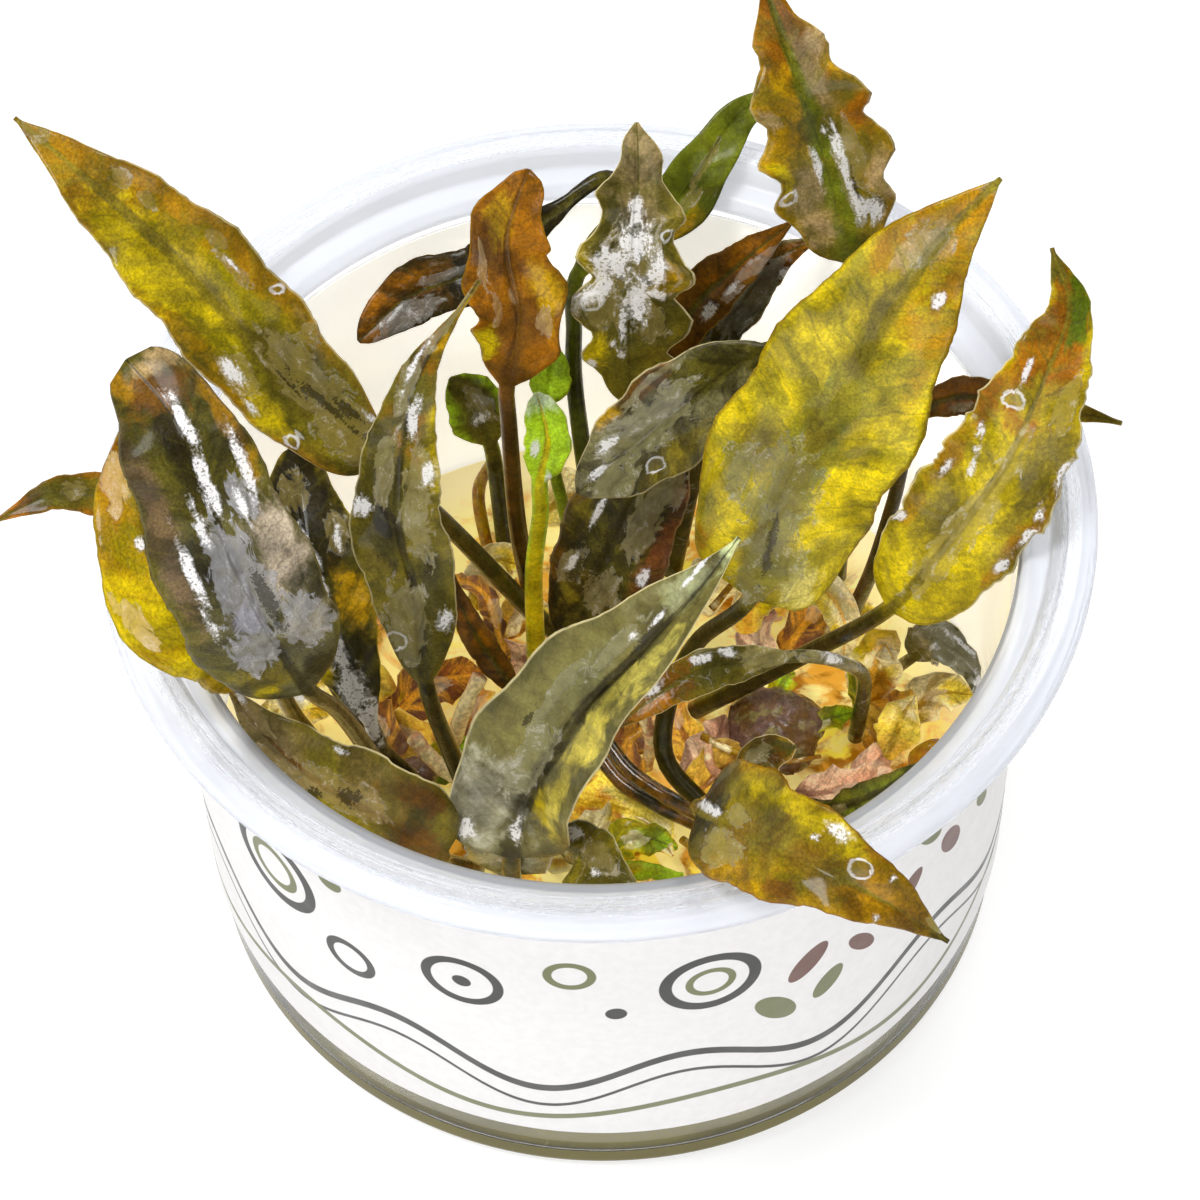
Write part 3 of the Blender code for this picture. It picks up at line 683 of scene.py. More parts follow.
def leaf(name, slot, finish, route, blade_from, width, widest=0.42, faces=(FRONT, FRONT), fold=(8, 8),
         curl=0, ruffle=0.5, waves=3, lobe=0.05, sides=(1, 1), ends=(0.9, 0.9), stalk=STALK_RADIUS,
         frill=1.0, replace=True):
    """A leaf along a route in millimetres: a round stalk, then a thin blade of a full width.

    blade_from: the route's point at which the blade begins. widest: where along the blade it is widest.
    faces: the ways its upper side looks, from blade base to tip. fold and curl, in degrees: how far
    each half rises and goes on bending. ruffle, waves and lobe: the height and the number of the
    margins' large waves, and how far they stand out and in. sides: the right and left half's share of
    the half width. ends: how pointed the blade's base and tip are. frill: the share of the small waves.
    Gives back the mesh, and where each of its points lies across and along the blade.
    """
    seed = float(sum(map(ord, name)) % 83)
    blade, length = even_points(route, blade_from, len(route) - 1, BLADE_STEP)
    centres, stalk_length = blade, 0.0
    if blade_from > 0:
        stem, stalk_length = even_points(route, 0, blade_from, STALK_STEP)
        centres = np.vstack([stem[:-1], blade])
    count = len(centres)
    start = count - len(blade)
    shares = np.clip((np.arange(count) - start) / (len(blade) - 1), 0.0, 1.0)
    peak = math.log(0.5) / math.log(widest)
    outward = np.abs(COLUMNS)
    hand = np.sign(COLUMNS)
    right = COLUMNS > 0
    around = np.concatenate([COLUMNS, COLUMNS[-2:0:-1]])
    points, places, millimetres = [], [], []
    for i, share in enumerate(shares):
        # The section's own axes and size
        along = heading(centres, i)
        power = ends[0] + (ends[1] - ends[0]) * share
        outline = max(0.0, math.sin(math.pi * share**peak)) ** power
        blade_share = min(1.0, share * 4.0)
        thick = stalk * (1.25 - 0.25 * min(1.0, i / (start + 1)))
        half = max(TIP_WIDTH + (thick - TIP_WIDTH) * (1.0 - share), 0.5 * width * outline)
        if i == count - 1:
            thick = TIP_WIDTH
        facing = facing_at(faces, share)
        up = np.array((facing - along * facing.dot(along)).normalized())
        side = np.cross(np.array(along), up)

        # How far out each point lies, and how the two halves fold and curl
        out = outward * blade_share + np.sin(outward * math.pi / 2) * (1.0 - blade_share)
        folds = np.radians(np.where(right, fold[0], fold[1])) * blade_share * smooth_step(outward, 0.0, 0.12)
        bends = math.radians(curl) * blade_share
        lean = folds + 0.5 * bends * out
        tilt = folds + bends * out

        # The margins' large and small waves, and the blade's swellings
        phase = 2.0 * math.pi * waves * share
        fade = math.sin(math.pi * share)
        blade_mm = share * length
        wave = ruffle * fade * blade_share * out**2 * np.sin(phase + hand * 0.8)
        small = plant().frill / MM * frill * blade_share * fade**0.5 * out**4
        small = small * wavy(blade_mm * 1.5 + hand * 1.7, seed)
        reach = half * out * (1.0 + lobe * blade_share * out * np.cos(1.31 * phase + hand))
        reach = reach * np.where(right, sides[0], sides[1])
        ragged = 0.13 * frill * blade_share * fade * out**3 * wavy(blade_mm * 2.1 + hand * 2.9, seed + 2.0)
        reach = np.maximum(reach + ragged, 0.0)
        swell = swellings(blade_mm, half, reach, out, hand, seed) * blade_share * fade
        spots = (
            centres[i]
            + side * (hand * reach * np.cos(lean))[:, None]
            + up * (reach * np.sin(lean) + wave + small + swell)[:, None]
        )

        # The upper and lower sides, which a midrib parts
        normals = up * np.cos(tilt)[:, None] - side * (hand * np.sin(tilt))[:, None]
        round_depth = thick * np.sqrt(np.maximum(0.0, 1.0 - out**2))
        flat = min(LAMINA, thick) * np.sqrt(1.0 - outward**5)
        rib = np.exp(-((outward * half / 0.55) ** 2)) * (1.0 - share) ** 0.5
        top = round_depth + (flat - 0.07 * rib - round_depth) * blade_share
        under = round_depth + (flat + min(MIDRIB, thick) * 0.8 * rib - round_depth) * blade_share
        points.append(spots + normals * top[:, None])
        points.append((spots - normals * under[:, None])[-2:0:-1])
        level = share if i >= start else -(1.0 - i / start) * stalk_length / length
        places.append(np.stack([around, np.full(len(around), level)], 1))
        millimetres.append(np.stack([around * half, np.full(len(around), level * length)], 1))
    nodes = [name] if replace else []
    quads = ring_faces(count, len(around))
    mesh = piece(name + "_blade", np.vstack(points), quads, finish, nodes, slot).data
    corners = np.zeros(len(mesh.loops), np.int32)
    mesh.loops.foreach_get("vertex_index", corners)
    millimetres = np.vstack(millimetres)
    for label, values in (("leaf", np.vstack(places)), ("mm", millimetres)):
        layer = mesh.uv_layers.new(name=label)
        layer.uv.foreach_set("vector", values[corners].astype(np.float32).ravel())
    backs = np.tile(np.arange(len(around)) >= len(COLUMNS), count)
    write_at_points(mesh, "under", backs)
    return mesh, millimetres[:, 0], millimetres[:, 1]


def patch_field(across, along, patches):
    """How deep each point lies in the nearest of some oval patches: 1 at a centre, 0 at its border."""
    best = np.full(len(across), -2.0)
    nearest = np.zeros(len(across), int)
    for i, (middle, level, wide, long) in enumerate(patches):
        depth = 1.0 - np.hypot((across - middle) / wide, (along - level) / long)
        nearest = np.where(depth > best, i, nearest)
        best = np.maximum(best, depth)
    return best, nearest


def grow(name, slot, route, finish, marks=(), film=(), bright=(), cracks=(), **shape):
    """A leaf with its finish, and with patches given in millimetres across and along the blade.

    marks: soft patches of a tone, as (tone, across, along, half width, half length). film, bright and
    cracks: patches of water film painted as grey sheen, of painted highlights on wet spots and of
    dark cracks, without the tone.
    """
    mesh, across, along = leaf(name, slot, leaf_finish(name, **finish), route, **shape)
    depth, nearest = patch_field(across, along, [mark[1:] for mark in marks])
    tones = np.array([(*tone(mark[0]), 1.0) for mark in marks] or [(0.0, 0.0, 0.0, 1.0)])
    write_at_points(mesh, "tint", tones[nearest], "FLOAT_COLOR", "color")
    write_at_points(mesh, "marked", depth)
    for label, patches in (("film", film), ("bright", bright), ("crack", cracks)):
        write_at_points(mesh, label, patch_field(across, along, patches)[0])


def grow_all(rows):
    """The leaves of one group."""
    for name, slot, route, finish, shape in rows:
        grow(name, slot, route, finish, **shape)
    return {"FINISHED"}


def tube(route, radius, taper=1.0, seed=0.0):
    """Points and faces of a slightly uneven round strand through a route, in millimetres."""
    centres, _ = even_points(route, 0, len(route) - 1, 0.5)
    turns = np.linspace(0.0, 2.0 * math.pi, 10, endpoint=False)
    rows = []
    guide = Vector((0.3, 0.2, 1.0))
    for i in range(len(centres)):
        along = heading(centres, i)
        side = along.cross(guide).normalized()
        guide = side.cross(along)
        share = i / (len(centres) - 1)
        size = radius * (1.0 + (taper - 1.0) * share) * (1.0 + 0.08 * wavy(share * 9.0, seed))
        rows.append(centres[i] + size * (np.outer(np.cos(turns), side) + np.outer(np.sin(turns), guide)))
    return np.vstack(rows), ring_faces(len(centres), len(turns))


def turned(profile, steps, closed=False):
    """Points and side faces of a profile of (radius, height) turned round the upright axis."""
    turns = np.linspace(0.0, 2.0 * math.pi, steps, endpoint=False)
    rows = [
        np.stack([radius * np.cos(turns), radius * np.sin(turns), np.full(steps, height)], 1)
        for radius, height in profile
    ]
    faces = []
    for i in range(len(rows) if closed else len(rows) - 1):
        low, high = i * steps, ((i + 1) % len(rows)) * steps
        for j in range(steps):
            k = (j + 1) % steps
            faces.append((low + k, low + j, high + j, high + k))
    return np.vstack(rows), faces


def lathe(name, profile, finish, node, closed=False):
    """A turned piece from a profile in millimetres, with flat ends unless the profile is a closed loop."""
    steps = 180
    vertices, faces = turned([spot for spot in profile if spot[0] > 0.0], steps, closed)
    if not closed:
        faces += [tuple(range(steps)), tuple(reversed(range(len(vertices) - steps, len(vertices))))]
    return piece(name, vertices, faces, finish, [node], node, sharp=35.0)


def rounded(profile, size, segments, closed=False):
    """A profile with each corner rounded by up to a radius in millimetres."""
    points = [Vector(p) for p in profile]
    count = len(points)
    found = []
    for i, here in enumerate(points):
        if not closed and i in (0, count - 1):
            found.append(here)
            continue
        before, after = points[i - 1], points[(i + 1) % count]
        room = min(size, 0.45 * (before - here).length, 0.45 * (after - here).length)
        one = here + (before - here).normalized() * room
        two = here + (after - here).normalized() * room
        for k in range(segments + 1):
            t = k / segments
            found.append(one * (1 - t) ** 2 + here * (2 * t * (1 - t)) + two * t**2)
    return found


# Cup

def let_light_through(tree, shader):
    """Lets lamps shine straight through a clear wall, where only bent light would pass."""
    clear = add(tree, "ShaderNodeBsdfTransparent")["BSDF"]
    shadow = add(tree, "ShaderNodeLightPath")["Is Shadow Ray"]
    both = add(tree, "ShaderNodeMixShader", {0: shadow, 1: Signal(tree, shader.outputs[0]), 2: clear})[0]
    put(tree.nodes["Material Output"].inputs["Surface"], both)


def plastic_finish():
    """The wall's clear plastic, a little scuffed towards the rim."""
    made, tree, shader = new_material("clear_plastic")
    where, _, _, height = object_places(tree)
    worn = ramp(grain(where, 260.0, 5.0, 0.7), 0.55, 0.7) * ramp(height, 0.0565, 0.059)
    put_all(shader, {
        "Base Color": tuple(cup_settings().plastic), "Roughness": worn * 0.25 + 0.05,
        "Transmission Weight": 1.0, "IOR": 1.25, "Normal": relief(grain(where, 120.0, 3.0), 0.25, 0.0001)
    })
    let_light_through(tree, shader)
    return made


def rim_finish():
    """The thicker, scuffed plastic of the rim, which looks milky."""
    made, tree, shader = new_material("milky_rim")
    _, x, y, z = object_places(tree)
    out = distance(x, y)
    drawn = add(
        tree, "ShaderNodeCombineXYZ", {0: maths("ARCTAN2", x, y) * 7.0, 1: out * 2600.0, 2: z * 2600.0}
    )[0]
    scuff = grain(drawn, 1.0, 5.0, 0.7, 0.6)
    worn_top = ramp(out, 0.0458, 0.0464) * ramp(scuff * 0.0012 + out, 0.0484, 0.0490, 1.0, 0.0)
    frost = worn_top * ramp(scuff, 0.4, 0.7)
    put_all(shader, {
        "Base Color": mixed(frost, tuple(cup_settings().rim), (0.95, 0.955, 0.975)),
        "Roughness": ramp(frost, 0.0, 1.0, 0.26, 0.42), "Transmission Weight": 0.62, "IOR": 1.3,
        "Normal": relief(frost * scuff, 0.2, 0.0001)
    })
    return made


def base_finish():
    """The cup's lowest edge, which carries the colour of the gel round to the outside."""
    made, tree, shader = new_material("base_edge")
    cloud = grain(object_places(tree)[0], 70.0, 3.0)
    dark, light = (tuple(part * share + 0.02 for share in cup_settings().gel_side) for part in (1.2, 1.45))
    put_all(shader, {
        "Base Color": mixed(ramp(cloud, 0.35, 0.65), dark, light),
        "Roughness": ramp(cloud, 0.3, 0.7, 0.12, 0.25), "IOR": 1.15, "Normal": relief(cloud, 0.2, 0.0001)
    })
    return made


class OBJECT_OT_cryptocoryne_cup(bpy.types.Operator):
    """Build the clear cup: tapered wall, lid seat, flange and skirt"""

    bl_idname = "object.cryptocoryne_cup"
    bl_label = "Cup"

    def execute(self, context):
        rim = cup_settings().rim_radius / MM
        top = cup_settings().height / MM
        profile = [
            (0.0, 1.2), (39.9, 1.2), (40.85, 1.55), (41.24, 2.4), (42.3, 57.2), (43.2, 58.2), (45.1, 58.6),
            (45.6, top - 0.6), (46.2, top), (46.7, top), (47.0, top - 0.25), (48.4, top - 0.3),
            (48.9, top - 0.62), (rim - 0.4, top - 0.8), (rim, top - 1.3), (rim, top - 2.2),
            (rim - 0.8, top - 2.2), (rim - 0.9, top - 1.9), (46.8, top - 1.9), (46.4, 57.2), (43.2, 56.0),
            (42.17, 3.4), (42.124, 1.2), (41.74, 0.36), (40.9, 0.0), (0.0, 0.0),
        ]
        made = lathe("clear_cup", rounded(profile, 0.35, 3), plastic_finish(), "cup")
        made.data.materials.append(rim_finish())
        made.data.materials.append(base_finish())
        for face in made.data.polygons:
            out, level = math.hypot(face.center.x, face.center.y), face.center.z
            at_rim = level > 0.0558
            at_base = level < 0.0034 and (out > 0.0414 or level < 0.0004 and out > 0.0405)
            face.material_index = 1 if at_rim else 2 if at_base else 0
        return {"FINISHED"}


# Gel

class OBJECT_OT_cryptocoryne_gel(bpy.types.Operator):
    """Build the disc of gel that the plants root in"""

    bl_idname = "object.cryptocoryne_gel"
    bl_label = "Gel"

    def execute(self, context):
        settings = cup_settings()
        made, tree, shader = new_material("gel")
        where, x, y, z = object_places(tree)
        cloud = grain(where, 130.0, 5.0, 0.62, 0.8)
        cells = grain(where, 260.0, 4.0, 0.6, 0.5)
        litter = mixed(ramp(cells, 0.45, 0.62), (0.62, 0.30, 0.03), tone("orange"))
        litter = mixed(ramp(grain(where, 190.0, 4.0, 0.6), 0.5, 0.6), litter, (0.80, 0.62, 0.05))
        wet_top = mixed(ramp(cloud, 0.42, 0.56), tuple(settings.gel_top), litter)
        wet_top = mixed(ramp(distance(x, y), 0.033, 0.040), wet_top, tone("cream"))
        side = shaded(tuple(settings.gel_side), ramp(grain(where, 90.0, 3.0), 0.35, 0.65, 0.8, 1.2))
        paint = mixed(ramp(z, 0.0132, 0.0138), side, wet_top)
        # The gel glows of itself on its top and side: painted light, standing in for light that comes through
        # it
        put_all(shader, {
            "Base Color": paint, "Emission Color": paint, "Emission Strength": 0.7 * settings.backlight,
            "Roughness": ramp(cloud, 0.3, 0.7, 0.12, 0.3), "IOR": 1.2, "Normal": relief(cloud, 0.6, 0.0006)
        })
        profile = [
            (0.0, GEL_TOP), (39.3, GEL_TOP), (40.6, GEL_TOP + 0.24), (41.4, GEL_TOP + 0.55), (41.15, 2.6),
            (40.75, 1.65), (39.8, 1.3), (0.0, 1.3),
        ]
        lathe("gel_disc", rounded(profile, 0.5, 3), made, "gel")
        return {"FINISHED"}


# Label: its waves by ink, as (length, level, height, line), then its rings and leaning ovals by ink,
# as (place round the cup, level, radius, line, lean, slimness), in millimetres. A filled one has a
# line as wide as itself round a radius of 0.
WAVES = {
    "ink": ((30.2, 21.0, 3.2, 1.3), (30.2, 17.4, 3.2, 0.6)),
    "leaf_ink": ((45.2, 13.2, 1.8, 1.0),),
    "wine_ink": (),
}
DOTS = {
    "ink": (
        (-38, 38.5, 5.4, 1.4), (-28, 31.5, 2.6, 1), (-15, 37, 3.8, 1.1), (-15, 37, 0, 2), (0.5, 34, 0, 2.2),
        (10, 38, 4.6, 1.3), (54.5, 39, 3.6, 1), (66, 37, 5, 1.2), (-78, 38, 4.6, 1.2), (120, 36, 4.2, 1.2),
    ),
    "leaf_ink": (
        (-38, 38.5, 3, 1), (-29.5, 45, 0, 3), (-4, 41.5, 2.2, 0.9), (10, 38, 2.2, 0.8),
        (17, 28.5, 0, 5.6, 0.5, 1.5), (23, 29, 0, 4.8, -0.4, 1.6), (36, 44, 0, 5.6, 0.4, 1.7),
        (46.5, 36.5, 0, 3.8, 0.4, 1.7), (-56, 40, 3.8, 1), (84, 43, 0, 4.2, 0.5, 1.7), (102, 40, 3, 1),
    ),
    "wine_ink": (
        (20.5, 35, 0, 5.6, -0.5, 1.6), (27, 33, 0, 4.4, 0.5, 1.7), (33, 36, 0, 5.6, -0.5, 1.6),
        (40, 37.5, 0, 5.2, 0.3, 1.6), (44, 44, 0, 5.6, -0.4, 1.7), (-102, 35, 0, 4.2, -0.5, 1.7),
    ),
}


def ink_mask(tree, ink, round_mm, up_mm):
    """Where one ink lies on the label."""
    mask = 0.0
    for length, level, height, line in WAVES[ink]:
        wave = maths("SINE", round_mm * (2.0 * math.pi / length))
        off = abs(up_mm - (wave * height + level))
        mask = maths("MAXIMUM", mask, ramp(off, 0.5 * line + 0.08, 0.5 * line - 0.08))
    for dot in DOTS[ink]:
        given = dict(zip(("Centre", "Level", "Radius", "Line", "Lean", "Slim"), dot))
        placed = effect(tree, "Label dot", {"Round": round_mm, "Up": up_mm, **given})
        mask = maths("MAXIMUM", mask, placed["Mask"])
    return mask


class OBJECT_OT_cryptocoryne_label(bpy.types.Operator):
    """Build the wrap label with its plain design of waves and rings"""

    bl_idname = "object.cryptocoryne_label"
    bl_label = "Label"

    def execute(self, context):
        settings = cup_settings()
        made, tree, shader = new_material("label_paper")
        where, x, y, z = object_places(tree)
        round_mm = maths("ARCTAN2", x, y * -1.0) * LABEL_RADIUS
        up_mm = z * 1000.0
        outer = ramp(distance(x, y) - (z * 0.0195 + 0.0424), 0.0001, 0.0002)
        ground = shaded(tuple(settings.paper), ramp(grain(where, 900.0, 3.0), 0.3, 0.7, 0.97, 1.02))
        paper = mixed(outer, tuple(settings.lining), ground)
        for ink in DOTS:
            paper = mixed(ink_mask(tree, ink, round_mm, up_mm) * outer, paper, tuple(getattr(settings, ink)))
        # The lining glows of itself: painted light, for light shining through the label from outside
        put_all(shader, {
            "Base Color": paper, "Roughness": ramp(grain(where, 300.0), 0.3, 0.7, 0.34, 0.46),
            "Emission Color": mixed(outer, tuple(settings.lining), (0.0, 0.0, 0.0)),
            "Emission Strength": settings.backlight, "Normal": relief(grain(where, 60.0, 3.0), 0.15, 0.0001)
        })
        low, high = LABEL_LEVELS
        foot, head = (WALL_FOOT + WALL_TAPER * level + LABEL_GAP for level in (low, high))
        profile = [(head, high), (head + LABEL_THICKNESS, high), (foot + LABEL_THICKNESS, low), (foot, low)]
        lathe("wrap_label", rounded(profile, 0.1, 2, closed=True), made, "label", closed=True)
        return {"FINISHED"}


# Leaves: further tones, and the looks that old leaves share
TAN = (0.38, 0.26, 0.11)
AMBER = (0.27, 0.135, 0.002)
ASH = (0.24, 0.175, 0.07)
KHAKI = (0.20, 0.17, 0.05)
VIVID = (0.58, 0.44, 0.003)
MINT = (0.60, 0.72, 0.42)
LILAC_SHEEN = (0.30, 0.28, 0.36)
RESIN = (0.70, 0.36, 0.03)
STRAW = (0.80, 0.60, 0.06)
# Old leaves glow a little of themselves: painted light, for light shining through their thin tissue
PALE = look(RESIN, STRAW, "cream", "cream", RESIN, midrib=RESIN, blotch_share=0.5, veins="orange",
            vein_share=0.4, cover=0.35, edge="cream", under="cream", gloss=0.5, through=0.24)
STRAWY = look(RESIN, STRAW, "cream", STRAW, STRAW, midrib="gold", veins=RESIN, cover=0.4, edge="cream",
              under=STRAW, gloss=0.5, through=0.24)

# The leaves of each group: name, slot, route, look, then marks and shape as grow() and leaf() take them
LEFT_LEAVES = (
    ("leaf_left_long", "leaf_olive", ((-4, 14.5, 15), (-8, 15, 21), (-17, 14, 40), (-23, 10.5, 54),
     (-31.5, 15, 63), (-40, 22, 71), (-49, 28.5, 77), (-57.5, 35, 81)),
     look("moss", (0.28, 0.225, 0.002), AMBER, AMBER, "olive", cover=0.45, blotch_share=0.6, turn=0.5,
          margin_width=0.3, midrib="olive", midrib_width=0.9, edge="cream", rings=((5.2, 20.6, 0.5),
          (-3.7, 8.1, 0.8))),
     dict(marks=(("yellow", -2, 31, 3.6, 10), (AMBER, 5, 36, 1.8, 12), (AMBER, 0.6, 46, 3, 3.5),
          ("brown", -1.4, 49.5, 1.5, 2.5), (AMBER, 4.8, 24, 1.4, 5), ("moss", 1.5, 11, 3.2, 8),
          ("gold", -4.6, 22, 1.3, 5), ("yellow", -3.6, 12, 1.4, 3), ("dark", 0.4, 2.1, 0.8, 0.9)),
          film=((0.4, 48.5, 1, 1.6), (2.1, 39.1, 0.8, 1.2), (2.4, 35.6, 0.7, 1.1), (4, 28.2, 0.6, 1.4),
          (3.4, 25, 0.7, 2.2), (-3.2, 16.5, 1.6, 2.6), (1.4, 12, 2.2, 6), (0.8, 5, 2.2, 4.5),
          (4.6, 14.9, 1.2, 1.3)), bright=((3.6, 25.2, 0.3, 1.2), (-3.6, 17, 0.7, 1.5), (-4.5, 13.4, 0.4, 0.9),
          (2.8, 3.7, 0.5, 0.9)), cracks=((1, 9, 0.3, 5), (1.9, 6, 0.3, 2.2), (0.1, 12.5, 0.25, 2)),
          blade_from=3, width=12.3, widest=0.42, fold=(4, 4), curl=10, ruffle=0.4, waves=4,
          sides=(1.08, 0.97), ends=(0.45, 0.95))),
    ("leaf_left_low", "leaf_yellow", ((-23, -5, 15), (-28.5, -7, 26), (-31.3, -9.5, 37),
     (-33, -12.6, 49), (-36.3, -18.8, 67), (-41.5, -17.5, 72), (-44, -10, 76), (-44.5, 0.5, 78)),
     look("yellow", "yellow", "gold", "gold", "gold", cover=0.4, turn=0.5, margin_width=0.3,
          edge="yellow", under="yellow", film_share=0.7, film_tone=(0.56, 0.4, 0.16)),
     dict(marks=(("brown", -1, 44, 3.5, 4), ("orange", -2.6, 41, 1.2, 6), ("yellow", -3.5, 24, 3.5, 8),
          ("olive", 3, 28, 2.6, 18), ("olive", 0.5, 36, 1.6, 8)), film=((-2.2, 39, 1.3, 3.2), (1, 41, 0.8, 3),
          (-4, 26.9, 0.9, 1.8), (-5, 28.6, 0.5, 1)), bright=((-0.8, 32.6, 0.4, 0.6), (-2.7, 11.6, 0.7, 3)),
          blade_from=3, width=12, widest=0.5, faces=((0.3, -0.5, 0.8), FRONT), curl=-15, ruffle=0.3,
          ends=(1, 0.6))),
    ("leaf_left_broad", "leaf_grey", ((-20, -8, 15), (-24, -10, 31), (-26.5, -15, 47), (-29, -20.5, 60),
     (-32, -23, 75), (-35, -20, 84), (-38, -14.5, 90), (-40.5, -9.5, 92), (-44, -5, 93)),
     look("slate", "moss", "moss", "moss", "dark", cover=0.42, turn=0.75, blotch_size=4, edge="sheen",
          midrib="dark", film_tone=(0.25, 0.245, 0.25), film_share=0.75, gloss=0.2),
     dict(marks=((TAN, 2.4, 43.6, 3.6, 1.7), ("brown", 0.4, 41.6, 4, 3), (AMBER, -2.2, 44.2, 1.2, 2),
          (AMBER, 5.2, 37, 1.3, 6), ((0.11, 0.07, 0.03), -5.2, 30, 1.6, 12),
          # Painted light: the pale bulge mark is painted sheen, the dark one painted shade in a hollow
          ((0.38, 0.31, 0.22), 4.6, 23, 2.6, 6), ("dark", -2.8, 23.5, 1.5, 4),
          # Painted sheen: the pale grey mark and the lilac one
          ((0.33, 0.29, 0.19), 4.6, 14, 2.6, 4), (LILAC_SHEEN, -1.6, 17.2, 1.6, 2), ("olive", -2.5, 6.5, 3.4, 3.5),
          ("yellow", -3, 4.5, 1.8, 2.2), ("dark", 2.5, 4, 2.6, 4), ("dark", -0.8, 36, 1.6, 5)),
          film=((-0.2, 20.5, 3.2, 7), (4, 13.5, 3, 4.6), (-2, 12.5, 2.4, 4), (3.4, 29, 1.4, 2.5)),
          bright=((1.1, 37.5, 0.5, 3), (0.6, 31.5, 0.6, 3.2), (4.7, 31.6, 0.55, 2.8), (3.2, 28.4, 0.4, 1.8),
          (-1.6, 28.5, 0.4, 2.2), (-4.1, 24, 0.45, 3.4), (-4.7, 18.6, 0.4, 2.2)), cracks=((1.4, 18, 0.8, 4),),
          blade_from=3, width=15.5, widest=0.4, curl=-20, ruffle=0.6, waves=3, sides=(0.9, 1),
          ends=(0.6, 0.3))),
    ("leaf_left_small", "leaf_olive", ((-24, -1, 15), (-31, -1, 40), (-41.5, -1.5, 60), (-47.5, -1, 65),
     (-53, -1.5, 67), (-59.5, -4, 66)),
     look("brown", "olive", "brown", "orange", "moss", cover=0.3),
     dict(marks=(("moss", 0, 14, 2, 3),), film=((0.2, 12.7, 1.2, 1.4),), blade_from=2, width=4.5,
          fold=(20, 10), ruffle=0.2, stalk=0.6)),
    ("leaf_left_glossy", "leaf_grey", ((-17, -7, 15), (-23, -6, 25), (-23.5, -8, 31), (-25.5, -6, 40),
     (-28, -0.5, 46), (-30, 6, 50), (-31, 14.5, 52)),
     look("moss", "moss", "dark", "olive", "dark", cover=0.55, margin_width=0.2, edge="yellow",
          edge_share=0.8, midrib="dark", gloss=0.3),
     dict(marks=(("gold", 2.8, 17.5, 1.6, 3.5), ("olive", -3.2, 20, 1.2, 6),
          ("yellow", -2.6, 12, 0.9, 3)), film=((3, 24, 1, 2.6), (-0.6, 29.5, 1.6, 2.2)),
          bright=((-0.6, 24.5, 0.5, 1.4), (0.1, 22, 0.5, 1.4), (0.2, 18.9, 0.4, 1.6), (-0.2, 15.9, 0.5, 1.8),
          (-0.6, 12.2, 0.8, 2.8), (-0.6, 7.8, 1.2, 3.2), (0.1, 3.4, 1, 3), (3, 23.6, 0.4, 1.3)),
          cracks=((-0.2, 8, 0.3, 5),), blade_from=2, width=10, widest=0.6, ruffle=0.4, ends=(0.9, 0.5))),
    ("leaf_left_upright", "leaf_grey", ((-13, -9, 15), (-16, -8, 28), (-18, -8, 41), (-18.5, -5, 52),
     (-20, -1, 60), (-19, 4, 67), (-17, 8, 73), (-11, 13.5, 80)),
     look("moss", "olive", "orange", "olive", "moss", cover=0.5, turn=0.55, edge="cream", midrib="dark",
          film_tone=(0.24, 0.205, 0.08), film_share=0.75, rings=((-2.4, 6.5, 1.1),)),
     dict(marks=(("gold", 0.6, 43, 1.4, 5.5), ("orange", -0.6, 41, 1, 4), ("yellow", 3.2, 31, 1.2, 5),
          ("dark", -1.4, 21, 1.4, 5), ("moss", 0, 34, 2.2, 3), ("dark", 2.4, 14, 1.4, 3)),
          film=((-0.4, 42, 0.6, 4.5), (-0.8, 35, 0.9, 4), (1.9, 22, 1.5, 7), (-1.2, 9, 2.2, 5),
          (-1.6, 26, 1, 4)), bright=((0.6, 31.6, 0.5, 2.1), (3, 26.2, 0.6, 1.2), (-3.6, 22.3, 0.8, 0.8),
          (2.4, 9, 0.8, 1), (-0.9, 37, 0.3, 2.5)), blade_from=2, width=9.5, widest=0.38, fold=(12, 4),
          ruffle=0.4, waves=4, ends=(0.9, 1.6))),
)

